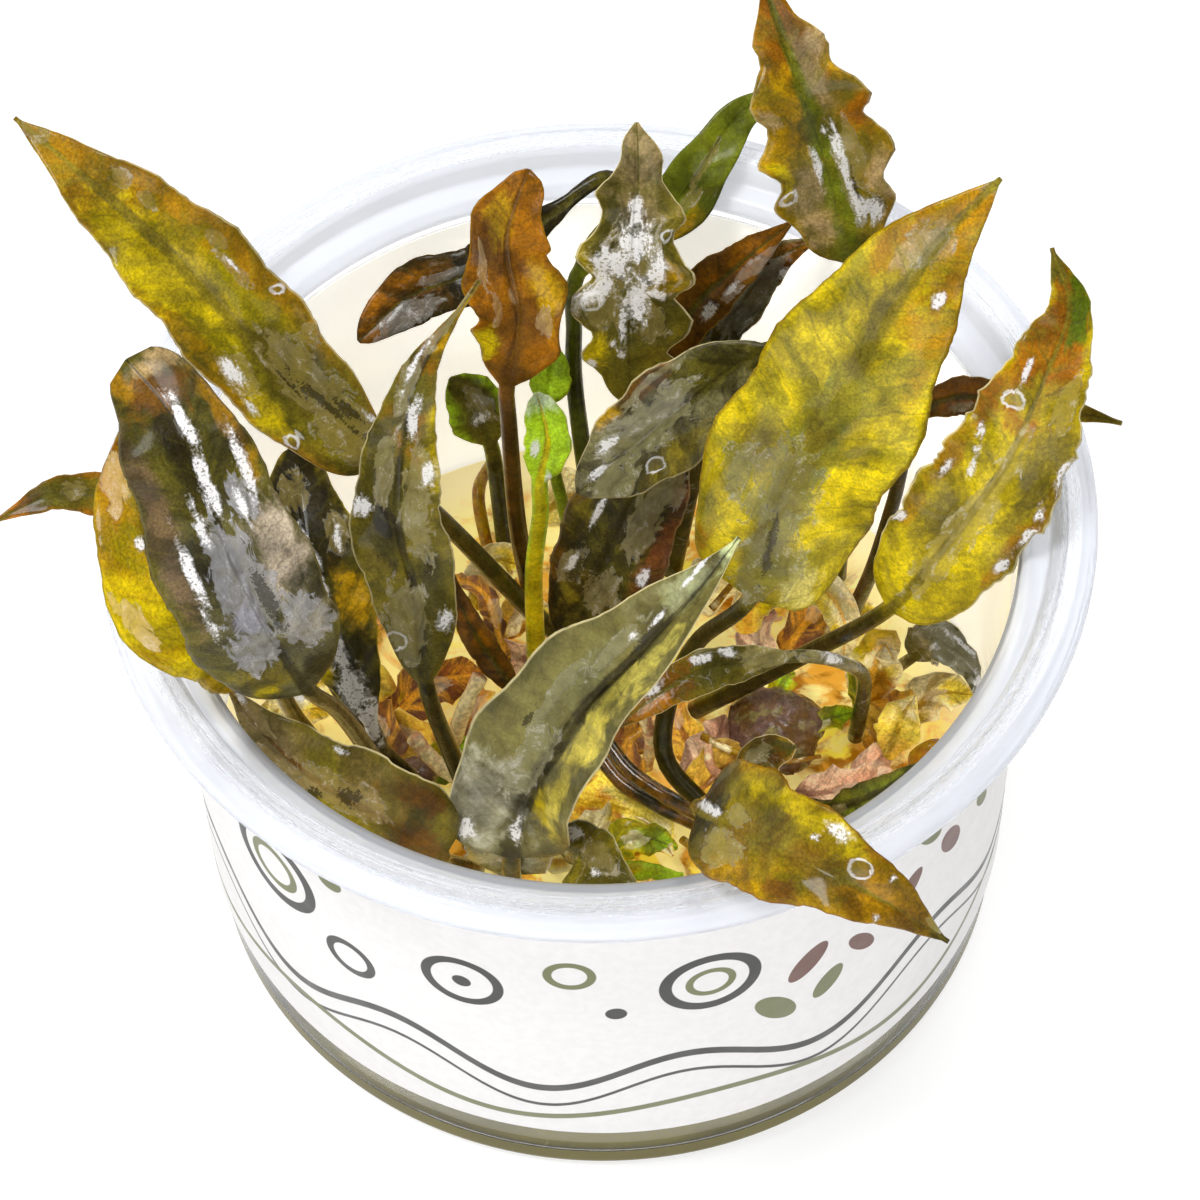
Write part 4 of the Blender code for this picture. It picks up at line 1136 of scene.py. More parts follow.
MIDDLE_LEAVES = (
    ("leaf_orange", "leaf_orange", ((-7, 18.5, 15), (-8.5, 18, 31), (-9, 20, 48), (-9, 21, 53),
     (-7.5, 23, 61), (-8.5, 27, 69), (-6, 31.5, 75)),
     look((0.19, 0.075, 0.002), (0.19, 0.07, 0.002), (0.24, 0.09, 0.002), "orange", "brown", cover=0.36,
          blotch_share=0.5, veins="brown", vein_share=0.45, edge="gold", midrib="brown", midrib_width=0.6,
          film_tone=TAN, film_share=0.6),
     dict(marks=(("yellow", -3.4, 5.7, 1.4, 2.6), ("gold", 3.4, 11.7, 1.6, 3),
          ("gold", -1.4, 19, 1.4, 3)), film=((-2.9, 15.9, 0.5, 2.2), (-2.3, 10.6, 0.5, 2.2),
          (2.8, 8.8, 1, 1.3), (-0.5, 11.7, 0.3, 1.4)), blade_from=3, width=10, widest=0.45, fold=(15, 20),
          ruffle=0.7, lobe=0.12, ends=(0.6, 0.45))),
    ("leaf_green_small", "leaf_green", ((-7, 10, 15), (-7, 14, 28), (-6, 16, 37), (-6, 17, 41),
     (-5, 19, 46), (-6, 22, 50)),
     look("lime", "lime", "lime", "lime", "lime", midrib="yellow", veins="lime", cover=0.2, edge="cream",
          under="lime", gloss=0.5, through=0.12, stalk_shade=1),
     dict(marks=((MINT, 0, 10, 3.4, 1.6), ("yellow", 0, -18, 1.5, 8)), bright=((-1.4, 4.4, 0.4, 0.9),
          (0.9, 1, 0.35, 0.8)), blade_from=3, width=5.2, widest=0.5, fold=(20, 20), ruffle=0.1,
          ends=(0.6, 0.4))),
    ("leaf_green_young", "leaf_green", ((-3, 28, 15), (-5, 29.5, 30), (-5, 31, 36), (-4, 34, 42)),
     look("lime", "lime", "lime", "lime", "leek", midrib="lime", veins="lime", cover=0.2, under="lime"),
     dict(blade_from=2, width=4.5, ruffle=0.1, stalk=0.6, ends=(0.6, 0.5))),
    ("leaf_lobed", "leaf_grey", ((4, 23, 15), (4, 23, 38), (4, 23, 46), (4, 24.5, 57), (4.5, 27, 67),
     (5, 30.5, 74), (5, 33, 80)),
     look("olive", "moss", "moss", "olive", "moss", cover=0.4, edge="cream", edge_share=0.8,
          rings=((-3.8, 15.4, 0.9), (3.6, 23.6, 0.6))),
     dict(marks=((ASH, 0, 33, 4, 6), (ASH, 0, 26, 2, 3), ("yellow", -4, 8.5, 1.6, 3),
          ("gold", 3.6, 19, 1.4, 2.5), ("olive", 2.8, 6, 2.2, 4), ("yellow", -4.4, 18, 0.8, 3)),
          film=((0, 20, 3.6, 5), (-2.6, 15, 2.4, 3), (1.8, 13, 1.6, 3)), bright=((0, 26, 0.7, 1.5),
          (0.1, 22.8, 1.7, 1.8), (-2.2, 20.2, 1.7, 1.7), (-3.6, 17, 1.2, 2.2), (0.4, 15.4, 1.3, 3),
          (2.4, 20, 0.9, 2), (3.2, 16.6, 1.2, 0.8), (-0.9, 13, 0.35, 2.8), (-2.1, 9.9, 0.35, 0.5),
          (-1, 8.3, 0.35, 0.5), (-3.8, 7, 0.5, 0.6)), cracks=((0.4, 21.5, 0.7, 0.9), (1.2, 18.2, 0.9, 0.7),
          (-1.6, 18.6, 0.6, 0.6), (0.9, 14, 0.35, 2.4)), blade_from=2, width=11, widest=0.45, fold=(10, 10),
          ruffle=0.8, waves=4, lobe=0.2, ends=(0.7, 0.7), frill=1.6)),
    ("leaf_green_arching", "leaf_green", ((0, 25, 15), (-2, 33, 34), (-2, 36, 42), (-1.5, 38, 49),
     (3.5, 39.5, 54), (9, 40, 58), (12.5, 42.5, 62), (16, 46, 65), (22.5, 48, 68)),
     look("leek", "leek", "leek", "leek", "moss", midrib="leek", cover=0.2, vein_share=0.1, speck=0.3,
          edge="leek"),
     dict(marks=(("gold", 2.4, 12.5, 0.9, 4),), film=((-0.1, 19.6, 0.45, 3), (0.7, 15.6, 0.6, 2.6)),
          blade_from=3, width=6.5, widest=0.4, ruffle=0.2, frill=0.2)),
    ("leaf_grey_middle", "leaf_grey", ((21, 22, 15), (21, 19, 38), (21, 18, 58), (18, 18.5, 61),
     (11, 14, 60), (5, 11.2, 56), (-2, 9, 50)),
     look("moss", "slate", "slate", "slate", "dark", cover=0.45, edge="cream", edge_share=0.7,
          film_tone=(0.22, 0.2, 0.09), film_share=0.7, rings=((-2.9, 17, 0.8),)),
     dict(marks=(("brown", 4.2, 13, 1.6, 4.5), ("gold", 4.3, 16.7, 1, 1.8),
          ("olive", -3.5, 15.5, 1.7, 5.5), ("moss", 2, 8, 2.6, 4)), film=((1, 15, 2.4, 6),
          (-1.6, 21.5, 1.8, 3), (4.2, 11, 0.4, 5)), bright=((2, 19.6, 0.5, 1.5), (0.3, 22.6, 0.4, 1.2)),
          blade_from=3, width=10.5, widest=0.5, ruffle=0.4, ends=(0.7, 0.6))),
    ("leaf_dark_middle", "leaf_dark", ((-3, 4.5, 15), (-4, 9.5, 22), (0, 10.5, 33), (3.5, 13, 42),
     (6.5, 17, 48), (9.5, 20, 51)),
     look("dark", "moss", "moss", "brown", "dark", cover=0.5, blotch_share=0.8, edge=TAN,
          film_tone=(0.25, 0.21, 0.09), film_share=0.75),
     dict(marks=(((0.17, 0.055, 0.012), 5, 19, 1.6, 8), ("olive", -4.3, 18, 1.7, 3),
          ("olive", 0.6, 26, 2, 4), ("olive", -1.4, 8, 1.6, 4)), film=((2.1, 21.1, 1.7, 5.5),
          (0.9, 10.2, 2, 3), (-3.2, 11.8, 1.2, 3.4), (3.4, 26, 1.2, 3)), bright=((-2.9, 19.6, 0.3, 2.2),
          (4.3, 15.2, 0.5, 1), (-3.2, 12.6, 0.35, 1.6)), cracks=((-0.4, 16, 0.8, 5), (-2.6, 11.5, 0.6, 2.5)),
          blade_from=1, width=12, widest=0.5, ruffle=0.6, ends=(0.7, 0.5))),
    ("leaf_narrow_wilting", "leaf_olive", ((27, 1, 15), (27.5, -0.5, 28), (25, -3.5, 36),
     (20.5, -4.5, 39), (14, -6.5, 41), (9, -8, 41), (5, -10, 40), (0.5, -12.5, 38)),
     look("moss", "olive", "brown", "olive", "moss", cover=0.35, edge="cream", edge_share=0.7,
          lines=0.15, gloss=0.2, film_tone=(0.3, 0.25, 0.09)),
     dict(marks=(("moss", 0, 10, 2, 3), ("brown", 0.4, 14, 2, 3), ("orange", -0.6, 17.5, 1.6, 3),
          ("cream", 0, -5, 2, 2.5)), film=((0.3, 4.5, 1.4, 3.4), (0, -4, 1.5, 4)),
          bright=((1.3, 10.6, 0.5, 0.9), (1.3, 8.1, 0.5, 0.8), (0.8, 16.4, 0.7, 1.1), (0.2, -3.4, 0.5, 1.2)),
          blade_from=3, width=4.5, widest=0.5, ruffle=0.3, stalk=0.7)),
)

BACK_LEAVES = (
    ("leaf_back_tall", "leaf_olive", ((26, 22, 15), (27, 24.5, 44), (27, 27, 56), (26.7, 29, 62),
     (25.4, 32, 68), (23.8, 34.8, 74), (22.1, 36.5, 79), (20.3, 40, 83), (18.7, 42.7, 87),
     (17.4, 45.5, 90)),
     look("olive", "olive", "orange", "gold", "olive", cover=0.35, turn=0.4, midrib="leek",
          midrib_width=1, edge="cream", edge_share=0.35, rings=((-4.7, 8.9, 0.7),)),
     dict(marks=(("orange", -0.5, 29, 3, 4), (TAN, 2.6, 24.2, 1.5, 2.2), (ASH, 1.4, 22, 1.6, 5),
          ("gold", -2.2, 20, 2, 3.5), ("orange", 5, 16.2, 1.6, 2.8), ("gold", -3.4, 15.5, 2, 3.2),
          ("leek", 0.2, 13, 1.6, 7), (ASH, -2.8, 9, 2.4, 3.5), (TAN, 5.2, 8, 1.2, 4),
          ("gold", 5, 4.4, 1.4, 2.4), ("yellow", -5, 11, 0.9, 3), (TAN, -2.4, 4.6, 2, 2.4),
          (TAN, -4.4, 18.6, 1.2, 1.4)), film=((1.5, 10, 0.8, 5.5), (3, 12, 0.7, 4)),
          bright=((1.2, 12.4, 0.3, 2), (1.6, 9.2, 0.35, 3.2), (1.7, 5.6, 0.6, 1.4), (-1.2, 11.2, 0.4, 2.2),
          (2.9, 5, 0.9, 1.4), (0.6, 15, 0.3, 0.5), (1.7, 14.5, 0.3, 1.2)), cracks=((2, 8, 0.3, 3),
          (2.9, 5, 0.6, 0.6)), blade_from=3, width=12.5, widest=0.36, fold=(14, 8), ruffle=0.7, waves=4,
          lobe=0.15, ends=(0.6, 1.2), frill=1.5)),
    ("leaf_back_dark", "leaf_dark", ((6.5, 30.5, 15), (6, 32, 40), (6, 34.5, 56), (2.5, 40.5, 62),
     (-4, 37.5, 60), (-11.5, 33, 57), (-19, 32, 54), (-24.5, 28.5, 51)),
     look("dark", "dark", "brown", "dark", "dark", cover=0.5, edge="brown", film_tone=(0.2, 0.19, 0.16),
          lines=0.05),
     dict(marks=(("orange", 1.9, 28, 1.2, 4), ("orange", -0.6, 31, 1.6, 1.6)),
          film=((-1.6, 26.5, 1.3, 4.5), (0.7, 20, 0.6, 3.4)), blade_from=3, width=6.5, widest=0.7, ruffle=0.3,
          ends=(0.6, 0.6))),
    ("leaf_back_brown", "leaf_brown", ((9, 27, 15), (8.5, 28, 36), (6, 28.5, 43), (10.5, 31.5, 51),
     (15.5, 32, 58), (21, 32, 65)),
     look("brown", "brown", "orange", "brown", "dark", cover=0.35, film_tone=(0.34, 0.27, 0.2)),
     dict(film=((1.2, 20, 0.6, 4), (1.6, 15.7, 0.7, 2)), bright=((1.5, 11.5, 0.5, 1.2),
          (1.4, 16, 0.3, 1)), blade_from=2, width=6, ruffle=0.3)),
    ("leaf_back_grey", "leaf_grey", ((8, 23, 15), (11, 27, 34), (10.5, 29.5, 43), (15.5, 32.5, 51),
     (19.5, 34, 56), (24, 34.5, 59)),
     look("moss", "slate", "brown", "slate", "dark", cover=0.4, film_tone=(0.21, 0.2, 0.15), lines=0.1),
     dict(marks=(("orange", 1.2, 18.5, 1.6, 2.2),), film=((0.8, 11, 1.6, 6),),
          bright=((1.6, 16.4, 0.5, 0.8),), blade_from=2, width=5.5, ruffle=0.2)),
    ("leaf_back_left_low", "leaf_olive", ((-10, 25, 15), (-11, 31, 24), (-11.5, 32, 28), (-13, 34, 32),
     (-15.5, 35.5, 35)),
     look("olive", "moss", "moss", "lime", "moss", cover=0.4, gloss=0.3),
     dict(film=((0.8, 4.5, 1.4, 2),), bright=((-0.2, 3.2, 0.8, 0.7),), blade_from=2, width=7, ruffle=0.2,
          ends=(0.6, 0.5))),
)

RIGHT_LEAVES = (
    ("leaf_yellow_broad", "leaf_yellow", ((11, -8, 15), (6.5, -4.5, 20), (7, -1.5, 27), (10, -1, 37),
     (15.5, -3.5, 49), (19, 1.5, 60), (24, 5, 70), (29.5, 10, 79), (34.5, 13.5, 85), (40, 16.5, 90)),
     look(VIVID, VIVID, "gold", VIVID, (0.22, 0.19, 0.008), cover=0.42, blotch_share=0.8,
          blotch_size=3.4, turn=0.6, midrib="olive", midrib_width=1.5, vein_share=0.35, margin_width=0.2,
          edge="gold", film_tone=(0.17, 0.155, 0.04), film_share=0.5, stalk_shade=0.12),
     dict(marks=((ASH, 0, 51.8, 2, 1.8), (AMBER, 3.4, 43.9, 1.6, 7), (AMBER, -3.6, 44, 1.6, 6),
          ((0.34, 0.165, 0.002), 0.4, 48.4, 3.2, 4), (TAN, -0.2, 44.2, 2, 2.6), (TAN, -1.4, 41, 1.6, 2),
          ("olive", -0.6, 35, 1.6, 4), ((0.15, 0.145, 0.014), 0.2, 20, 3.2, 11), (AMBER, -6.6, 5.2, 1.6, 3),
          ("moss", -0.5, 5, 1.3, 6), ((0.5, 0.42, 0.1), 3, 3.4, 2, 2.6),
          ((0.36, 0.19, 0.002), 5.8, 35, 1.5, 7), ("olive", -4.5, 16, 2.6, 3.5), (VIVID, -4.2, 27, 1.8, 6),
          (VIVID, 4.6, 18, 1.8, 7)), film=((-0.6, 13, 3.6, 5), (-5.4, 13.5, 1.6, 2.4), (0.2, 5, 2.6, 4.6),
          (-0.6, 43.2, 1.8, 2.4)), bright=((3.4, 39.3, 0.5, 0.7),), cracks=((-1, 13, 0.25, 2.6),
          (-0.3, 10.6, 0.2, 2.4), (0.1, 7, 0.35, 3.6)), blade_from=4, width=18.5, widest=0.36, fold=(4, 4),
          ruffle=0.4, ends=(0.35, 0.9))),
    ("leaf_right_ruffled", "leaf_yellow", ((10, 5, 15), (21.5, 0.5, 32), (29.5, -6, 50),
     (35.5, -4.5, 60), (40.5, -1.5, 68), (44, 3, 75), (46.5, 8, 80), (45, 12.5, 84)),
     look(VIVID, VIVID, "orange", "yellow", "olive", cover=0.38, blotch_share=0.6, turn=0.5,
          margin_width=0.25, edge="cream", edge_share=0.8, midrib="olive", film_tone=(0.36, 0.28, 0.05),
          stalk_shade=0.12, rings=((-2.1, 28.1, 1),)),
     dict(marks=(("moss", -0.3, 43, 1.2, 2.4), ((0.07, 0.1, 0.002), 1.2, 38.6, 1.3, 4.6),
          ("orange", -1.6, 33.6, 2.2, 5), ("orange", 1.6, 33, 1, 3), ("yellow", 4, 5, 4, 4),
          ("orange", -4.4, 27, 1.4, 4), (AMBER, -5.2, 19, 1.3, 5), (AMBER, 5.6, 17, 1.2, 8),
          ("olive", 3.6, 22, 2.2, 7), ("olive", -2.2, 13, 2.6, 4), ("gold", -5.6, 12, 1.6, 3)),
          film=((0.3, 13, 1.6, 9), (3, 29.6, 1, 3.2), (0.4, 22, 0.9, 4)), bright=((-5, 18, 0.4, 1.4),
          (-3.3, 21.6, 0.4, 0.6), (-2.7, 19, 0.35, 1), (-3.9, 23.8, 0.4, 0.6), (-5.7, 10.4, 0.4, 0.8),
          (-2, 31, 0.28, 1.4), (5.6, 23.5, 0.35, 1.6), (5.9, 16.6, 0.35, 1.6), (5.4, 12.5, 0.5, 0.6),
          (5.2, 19.4, 0.4, 0.8)), blade_from=2, width=13, widest=0.35, fold=(5, 5), ruffle=1, waves=5,
          ends=(0.5, 0.9), frill=2.6)),
    ("leaf_right_curled", "leaf_brown", ((27, 16, 15), (29, 13, 29), (31, 13.5, 41), (33, 15.5, 52),
     (37, 14, 58), (43, 10, 61.5), (49, 7, 64), (52.5, 5, 65)),
     look("brown", "orange", "olive", "brown", "brown", cover=0.35),
     dict(marks=(("olive", 0, 23, 2, 6),), film=((1.2, 9, 0.5, 2.5),), blade_from=3, width=4.5,
          fold=(20, 20), ruffle=0.3, stalk=0.7)),
    ("leaf_wilted_right", "leaf_dark", ((31, 9, 15), (33, 5, 24), (35, 1, 33), (38, -3, 34),
     (39, -6, 32)),
     look("moss", "slate", "slate", "slate", "moss", cover=0.4, edge="cream", edge_share=0.8, lines=0.3,
          gloss=0.3, film_tone=(0.3, 0.28, 0.19)),
     dict(film=((-0.3, 12, 2.2, 6),), bright=((-0.4, 17.6, 0.6, 1), (0.8, 10, 0.4, 1.6),
          (-1.2, 13, 0.3, 1.6)), blade_from=1, width=5, ruffle=0.6, stalk=0.6, frill=2)),
)

FRONT_LEAVES = (
    ("leaf_front_folded", "leaf_grey", ((-8, -17.5, 15), (-9.5, -24.5, 28), (-9.5, -26, 37),
     (-8.5, -24.5, 42), (-6, -23.5, 49), (-1.5, -21.5, 57), (3.5, -20.5, 64), (9.5, -18, 71),
     (13.5, -15.5, 76)),
     look((0.16, 0.14, 0.045), (0.17, 0.15, 0.04), (0.15, 0.125, 0.025), (0.13, 0.115, 0.035),
          (0.12, 0.1, 0.025), blotch_share=0.5, cover=0.4, turn=0.5, midrib="dark", midrib_width=0.6,
          edge="cream", edge_share=0.8, veins=KHAKI, vein_share=0.05, film_tone=(0.24, 0.22, 0.11),
          film_share=0.6, rough=0.3, gloss=0.35, speck=0.25),
     # The first, pale grey mark is painted sheen low on the folded half
     dict(marks=(((0.34, 0.33, 0.24), -3, 6, 4.6, 5), ("dark", 0.9, 14, 0.8, 11),
          ("dark", 0.5, 28, 0.6, 9), ((0.5, 0.41, 0.06), 3.4, 16, 1.6, 12),
          ((0.42, 0.36, 0.06), 1.9, 28, 1, 10), ((0.56, 0.62, 0.3), 0, 46.5, 1.6, 2.4),
          ("yellow", 2, 9, 1.2, 4), ((0.14, 0.13, 0.045), -1.8, 24, 1.3, 10),
          ((0.25, 0.26, 0.12), -0.6, 40, 1.4, 4)), film=((-1.6, 30, 0.7, 5), (-2.6, 22, 0.6, 5),
          (-1.2, 13, 1.4, 5)), bright=((-1.2, 42.5, 0.2, 2.2), (-0.9, 35.4, 0.2, 1.3), (-1.4, 32.4, 0.2, 0.6),
          (0.1, 3.4, 0.35, 1.6), (-3.2, 2.5, 0.8, 0.8)), cracks=((-3.2, 17.4, 0.3, 0.9), (-0.4, 33, 0.25, 3)),
          blade_from=2, width=13.5, widest=0.28, fold=(45, 5), ruffle=0.3, sides=(1, 1.2), ends=(0.35, 0.9),
          frill=0.4)),
    ("leaf_front_pale", "leaf_grey", ((-10.5, -15.5, 15), (-10.5, -20, 24), (-10, -21.5, 31),
     (-9.5, -18.5, 37)),
     look("moss", (0.3, 0.3, 0.21), "sheen", "sheen", KHAKI, blotch_share=0.4, cover=0.4, edge="white",
          edge_share=0.6, lines=0.15),
     dict(film=((-2.4, 8.5, 1.2, 2),), bright=((-1.6, 8, 0.4, 1.2), (-0.4, 4.2, 0.5, 0.9)),
          cracks=((0.6, 6, 1.2, 3),), blade_from=1, width=9, ruffle=0.2, ends=(0.6, 0.4))),
    ("leaf_front_left", "leaf_olive", ((-14, -14.5, 15), (-17, -22, 29), (-17, -26.5, 38),
     (-21, -27.5, 45), (-28, -25, 49), (-33.3, -21.2, 52), (-37.3, -16, 53.3)),
     look("moss", (0.23, 0.16, 0.035), (0.25, 0.18, 0.05), "olive", "moss", blotch_share=0.55, cover=0.4,
          edge="cream", edge_share=0.8, midrib="brown", gloss=0.3, speck=0.5, film_tone=(0.27, 0.2, 0.07),
          film_share=0.6),
     dict(marks=(("brown", 3.2, 8, 1.6, 5), (ASH, -0.6, 24, 2, 6), ("olive", 1.6, 18, 1.5, 3.5),
          ("olive", -2.4, 14, 1.6, 5), ("olive", 2.6, 3, 2, 3), ("brown", -0.4, 6, 2, 4)),
          film=((0.2, 15, 1.6, 5.5), (-1.6, 21, 1, 3.5), (0.4, 26, 0.8, 2.6)), bright=((0.5, 29, 0.3, 0.7),
          (3.5, 17, 0.3, 0.7)), cracks=((0.2, 14, 1, 1.2), (-1.4, 17, 0.8, 0.7)), blade_from=2, width=10,
          widest=0.32, ruffle=0.4, sides=(1.15, 0.8), ends=(0.5, 0.9))),
    ("leaf_front_low", "leaf_olive", ((-5.5, -14, 15), (-3, -21, 27), (-3.5, -26, 36), (-2.5, -29, 41),
     (0.5, -33.5, 44), (3.5, -36.5, 45)),
     look("moss", "olive", "moss", "olive", "moss", cover=0.4, edge="cream", lines=0.15, gloss=0.3),
     dict(film=((-0.6, 9, 1.6, 3), (0.6, 3, 1.4, 2)), bright=((-1.9, 4.6, 0.6, 1), (0.6, 10, 0.4, 0.8)),
          blade_from=2, width=7, ruffle=0.3)),
    ("leaf_front_right", "leaf_yellow", ((15, -8, 15), (12, -19, 35), (9.5, -30, 51), (9.5, -37.5, 62),
     (14.5, -45.5, 69), (20.5, -50.5, 71.5), (26, -53.2, 70), (31.5, -55, 66)),
     look("olive", (0.22, 0.16, 0.003), (0.24, 0.13, 0.002), "gold", "brown", cover=0.4, turn=0.4,
          blotch_size=3, blotch_share=0.6, midrib="olive", midrib_width=0.4, vein_share=0.12, edge="orange",
          film_tone=(0.27, 0.22, 0.06), film_share=0.8, rings=((-1.6, 22.7, 0.9),)),
     dict(marks=(("moss", 0, 33, 2, 2.2), ("brown", 3.7, 16.9, 1.6, 2), (AMBER, 0.8, 25.5, 2.6, 5),
          ("olive", -1.6, 12.5, 3, 4), ("yellow", -4.2, 12.8, 1.4, 6), ("yellow", -3, 19, 1.6, 4),
          ("dark", 0, 1.5, 4, 3.5), ("gold", 4.6, 8.7, 1.4, 4.5), ("olive", 0, 20, 1.2, 5),
          (AMBER, -3.6, 24.5, 1, 3)), film=((2.6, 7.2, 2, 3), (-1, 7.4, 1, 1.6), (-0.6, 31.2, 0.5, 1.2)),
          bright=((-3.4, 19.6, 0.45, 1), (-2.3, 17.7, 0.3, 0.4), (-2, 25.5, 0.3, 0.3), (-0.4, 2, 0.3, 2.2),
          (2, 26, 0.4, 0.4)), blade_from=3, width=12, widest=0.25, ruffle=0.4, sides=(0.85, 1.1),
          ends=(0.35, 0.9))),
    ("leaf_front_right_dark", "leaf_green", ((20, -9, 15), (21, -14, 25), (23, -18, 31), (27, -21, 38),
     (32, -21, 44)),
     look("leek", "leek", "leek", "moss", "dark", midrib="dark", cover=0.4, edge="moss", gloss=0.3),
     dict(film=((0.2, 2.5, 0.5, 1.6),), blade_from=2, width=3.5, ruffle=0.1)),
    ("leaf_small_curled", "leaf_olive", ((17, -10.5, 15), (17, -14, 30), (15, -20, 40), (16, -21, 46),
     (19, -22, 49)),
     look("olive", "olive", "moss", "gold", "brown", cover=0.4, edge="cream", edge_share=0.8, lines=0.2,
          film_tone=(0.3, 0.26, 0.11)),
     dict(marks=(("brown", 0.6, 8, 1.2, 2),), film=((-0.6, 6, 1, 2),), blade_from=2, width=4.5,
          ruffle=0.1, stalk=0.7, ends=(0.6, 0.4))),
)

OLD_LEAVES = (
    ("leaf_brown_narrow", "leaf_brown", ((-9, 6, 17), (-13, 8, 25), (-15, 10, 30), (-16, 12, 34)),
     look("brown", "brown", "orange", "brown", "dark", cover=0.4),
     dict(blade_from=0, width=3.5, fold=(20, 20), ruffle=0.2)),
    ("old_leaf_curl", "old_leaf", ((16, 13, 16), (16, 14, 21), (19, 14, 25), (23.5, 13, 26),
     (26, 11, 23), (26, 9, 17)),
     PALE,
     dict(marks=(("yellow", 1.6, 12, 0.9, 10), ("cream", -1.4, 14, 1, 9), ("orange", 0, 8, 0.6, 5)),
          film=((-0.6, 17, 0.6, 3),), blade_from=0, width=4.5, ruffle=0.3, ends=(0.4, 0.4))),
    ("old_leaf_round", "old_leaf", ((28, 5, 16), (29, 6, 20), (30, 6, 25), (31, 4, 25)),
     PALE,
     dict(marks=(("yellow", -2, 9, 1.6, 3), ("cream", 0, 7, 1.6, 2), ("orange", 1, 3, 1.6, 3)),
          blade_from=0, width=6, ruffle=0.4, ends=(0.5, 0.5))),
    ("old_leaf_torn", "old_leaf", ((30, -2, 16), (31, -1, 18), (32, 0, 21), (33, 0, 24)),
     STRAWY,
     dict(blade_from=0, width=5, ruffle=0.5, frill=2.5)),
    ("old_leaf_left", "old_leaf", ((-22, 7, 16), (-26, 7, 19), (-31, 6, 20), (-35, 3, 18)),
     STRAWY,
     dict(bright=((0.4, 12, 0.8, 0.8),), blade_from=0, width=6, ruffle=0.4)),
    ("old_leaf_front", "old_leaf", ((-5, -7, 16), (-1, -8, 17), (4, -10, 17), (7, -14, 16)),
     STRAWY,
     dict(marks=(("orange", 1, 5, 2, 3), ("olive", -2, 9, 1.6, 3)), blade_from=0, width=8, ruffle=0.3)),
    ("old_leaf_front_green", "leaf_green", ((-2, -17, 16), (3, -17, 17), (8, -17, 17)),
     look("lime", "yellow", "lime", "lime", "yellow", midrib="lime", veins="lime", cover=0.3,
          under="lime"),
     dict(blade_from=0, width=3.5, ruffle=0.2)),
)


class OBJECT_OT_cryptocoryne_left_leaves(bpy.types.Operator):
    """Build the leaves that lean out over the left of the rim"""

    bl_idname = "object.cryptocoryne_left_leaves"
    bl_label = "Left Leaves"

    def execute(self, context):
        return grow_all(LEFT_LEAVES)


class OBJECT_OT_cryptocoryne_middle_leaves(bpy.types.Operator):
    """Build the upright leaves in the middle"""

    bl_idname = "object.cryptocoryne_middle_leaves"
    bl_label = "Middle Leaves"

    def execute(self, context):
        return grow_all(MIDDLE_LEAVES)


class OBJECT_OT_cryptocoryne_back_leaves(bpy.types.Operator):
    """Build the leaves at the back of the cup"""

    bl_idname = "object.cryptocoryne_back_leaves"
    bl_label = "Back Leaves"

    def execute(self, context):
        return grow_all(BACK_LEAVES)


class OBJECT_OT_cryptocoryne_right_leaves(bpy.types.Operator):
    """Build the bright leaves on the right"""

    bl_idname = "object.cryptocoryne_right_leaves"
    bl_label = "Right Leaves"

    def execute(self, context):
        return grow_all(RIGHT_LEAVES)


class OBJECT_OT_cryptocoryne_front_leaves(bpy.types.Operator):
    """Build the leaves at the front, one folded and one that bends out over the rim"""

    bl_idname = "object.cryptocoryne_front_leaves"
    bl_label = "Front Leaves"

    def execute(self, context):
        return grow_all(FRONT_LEAVES)


class OBJECT_OT_cryptocoryne_old_leaves(bpy.types.Operator):
    """Build the leaves that have died back and lie on the gel"""

    bl_idname = "object.cryptocoryne_old_leaves"
    bl_label = "Old Leaves"

    def execute(self, context):
        return grow_all(OLD_LEAVES)


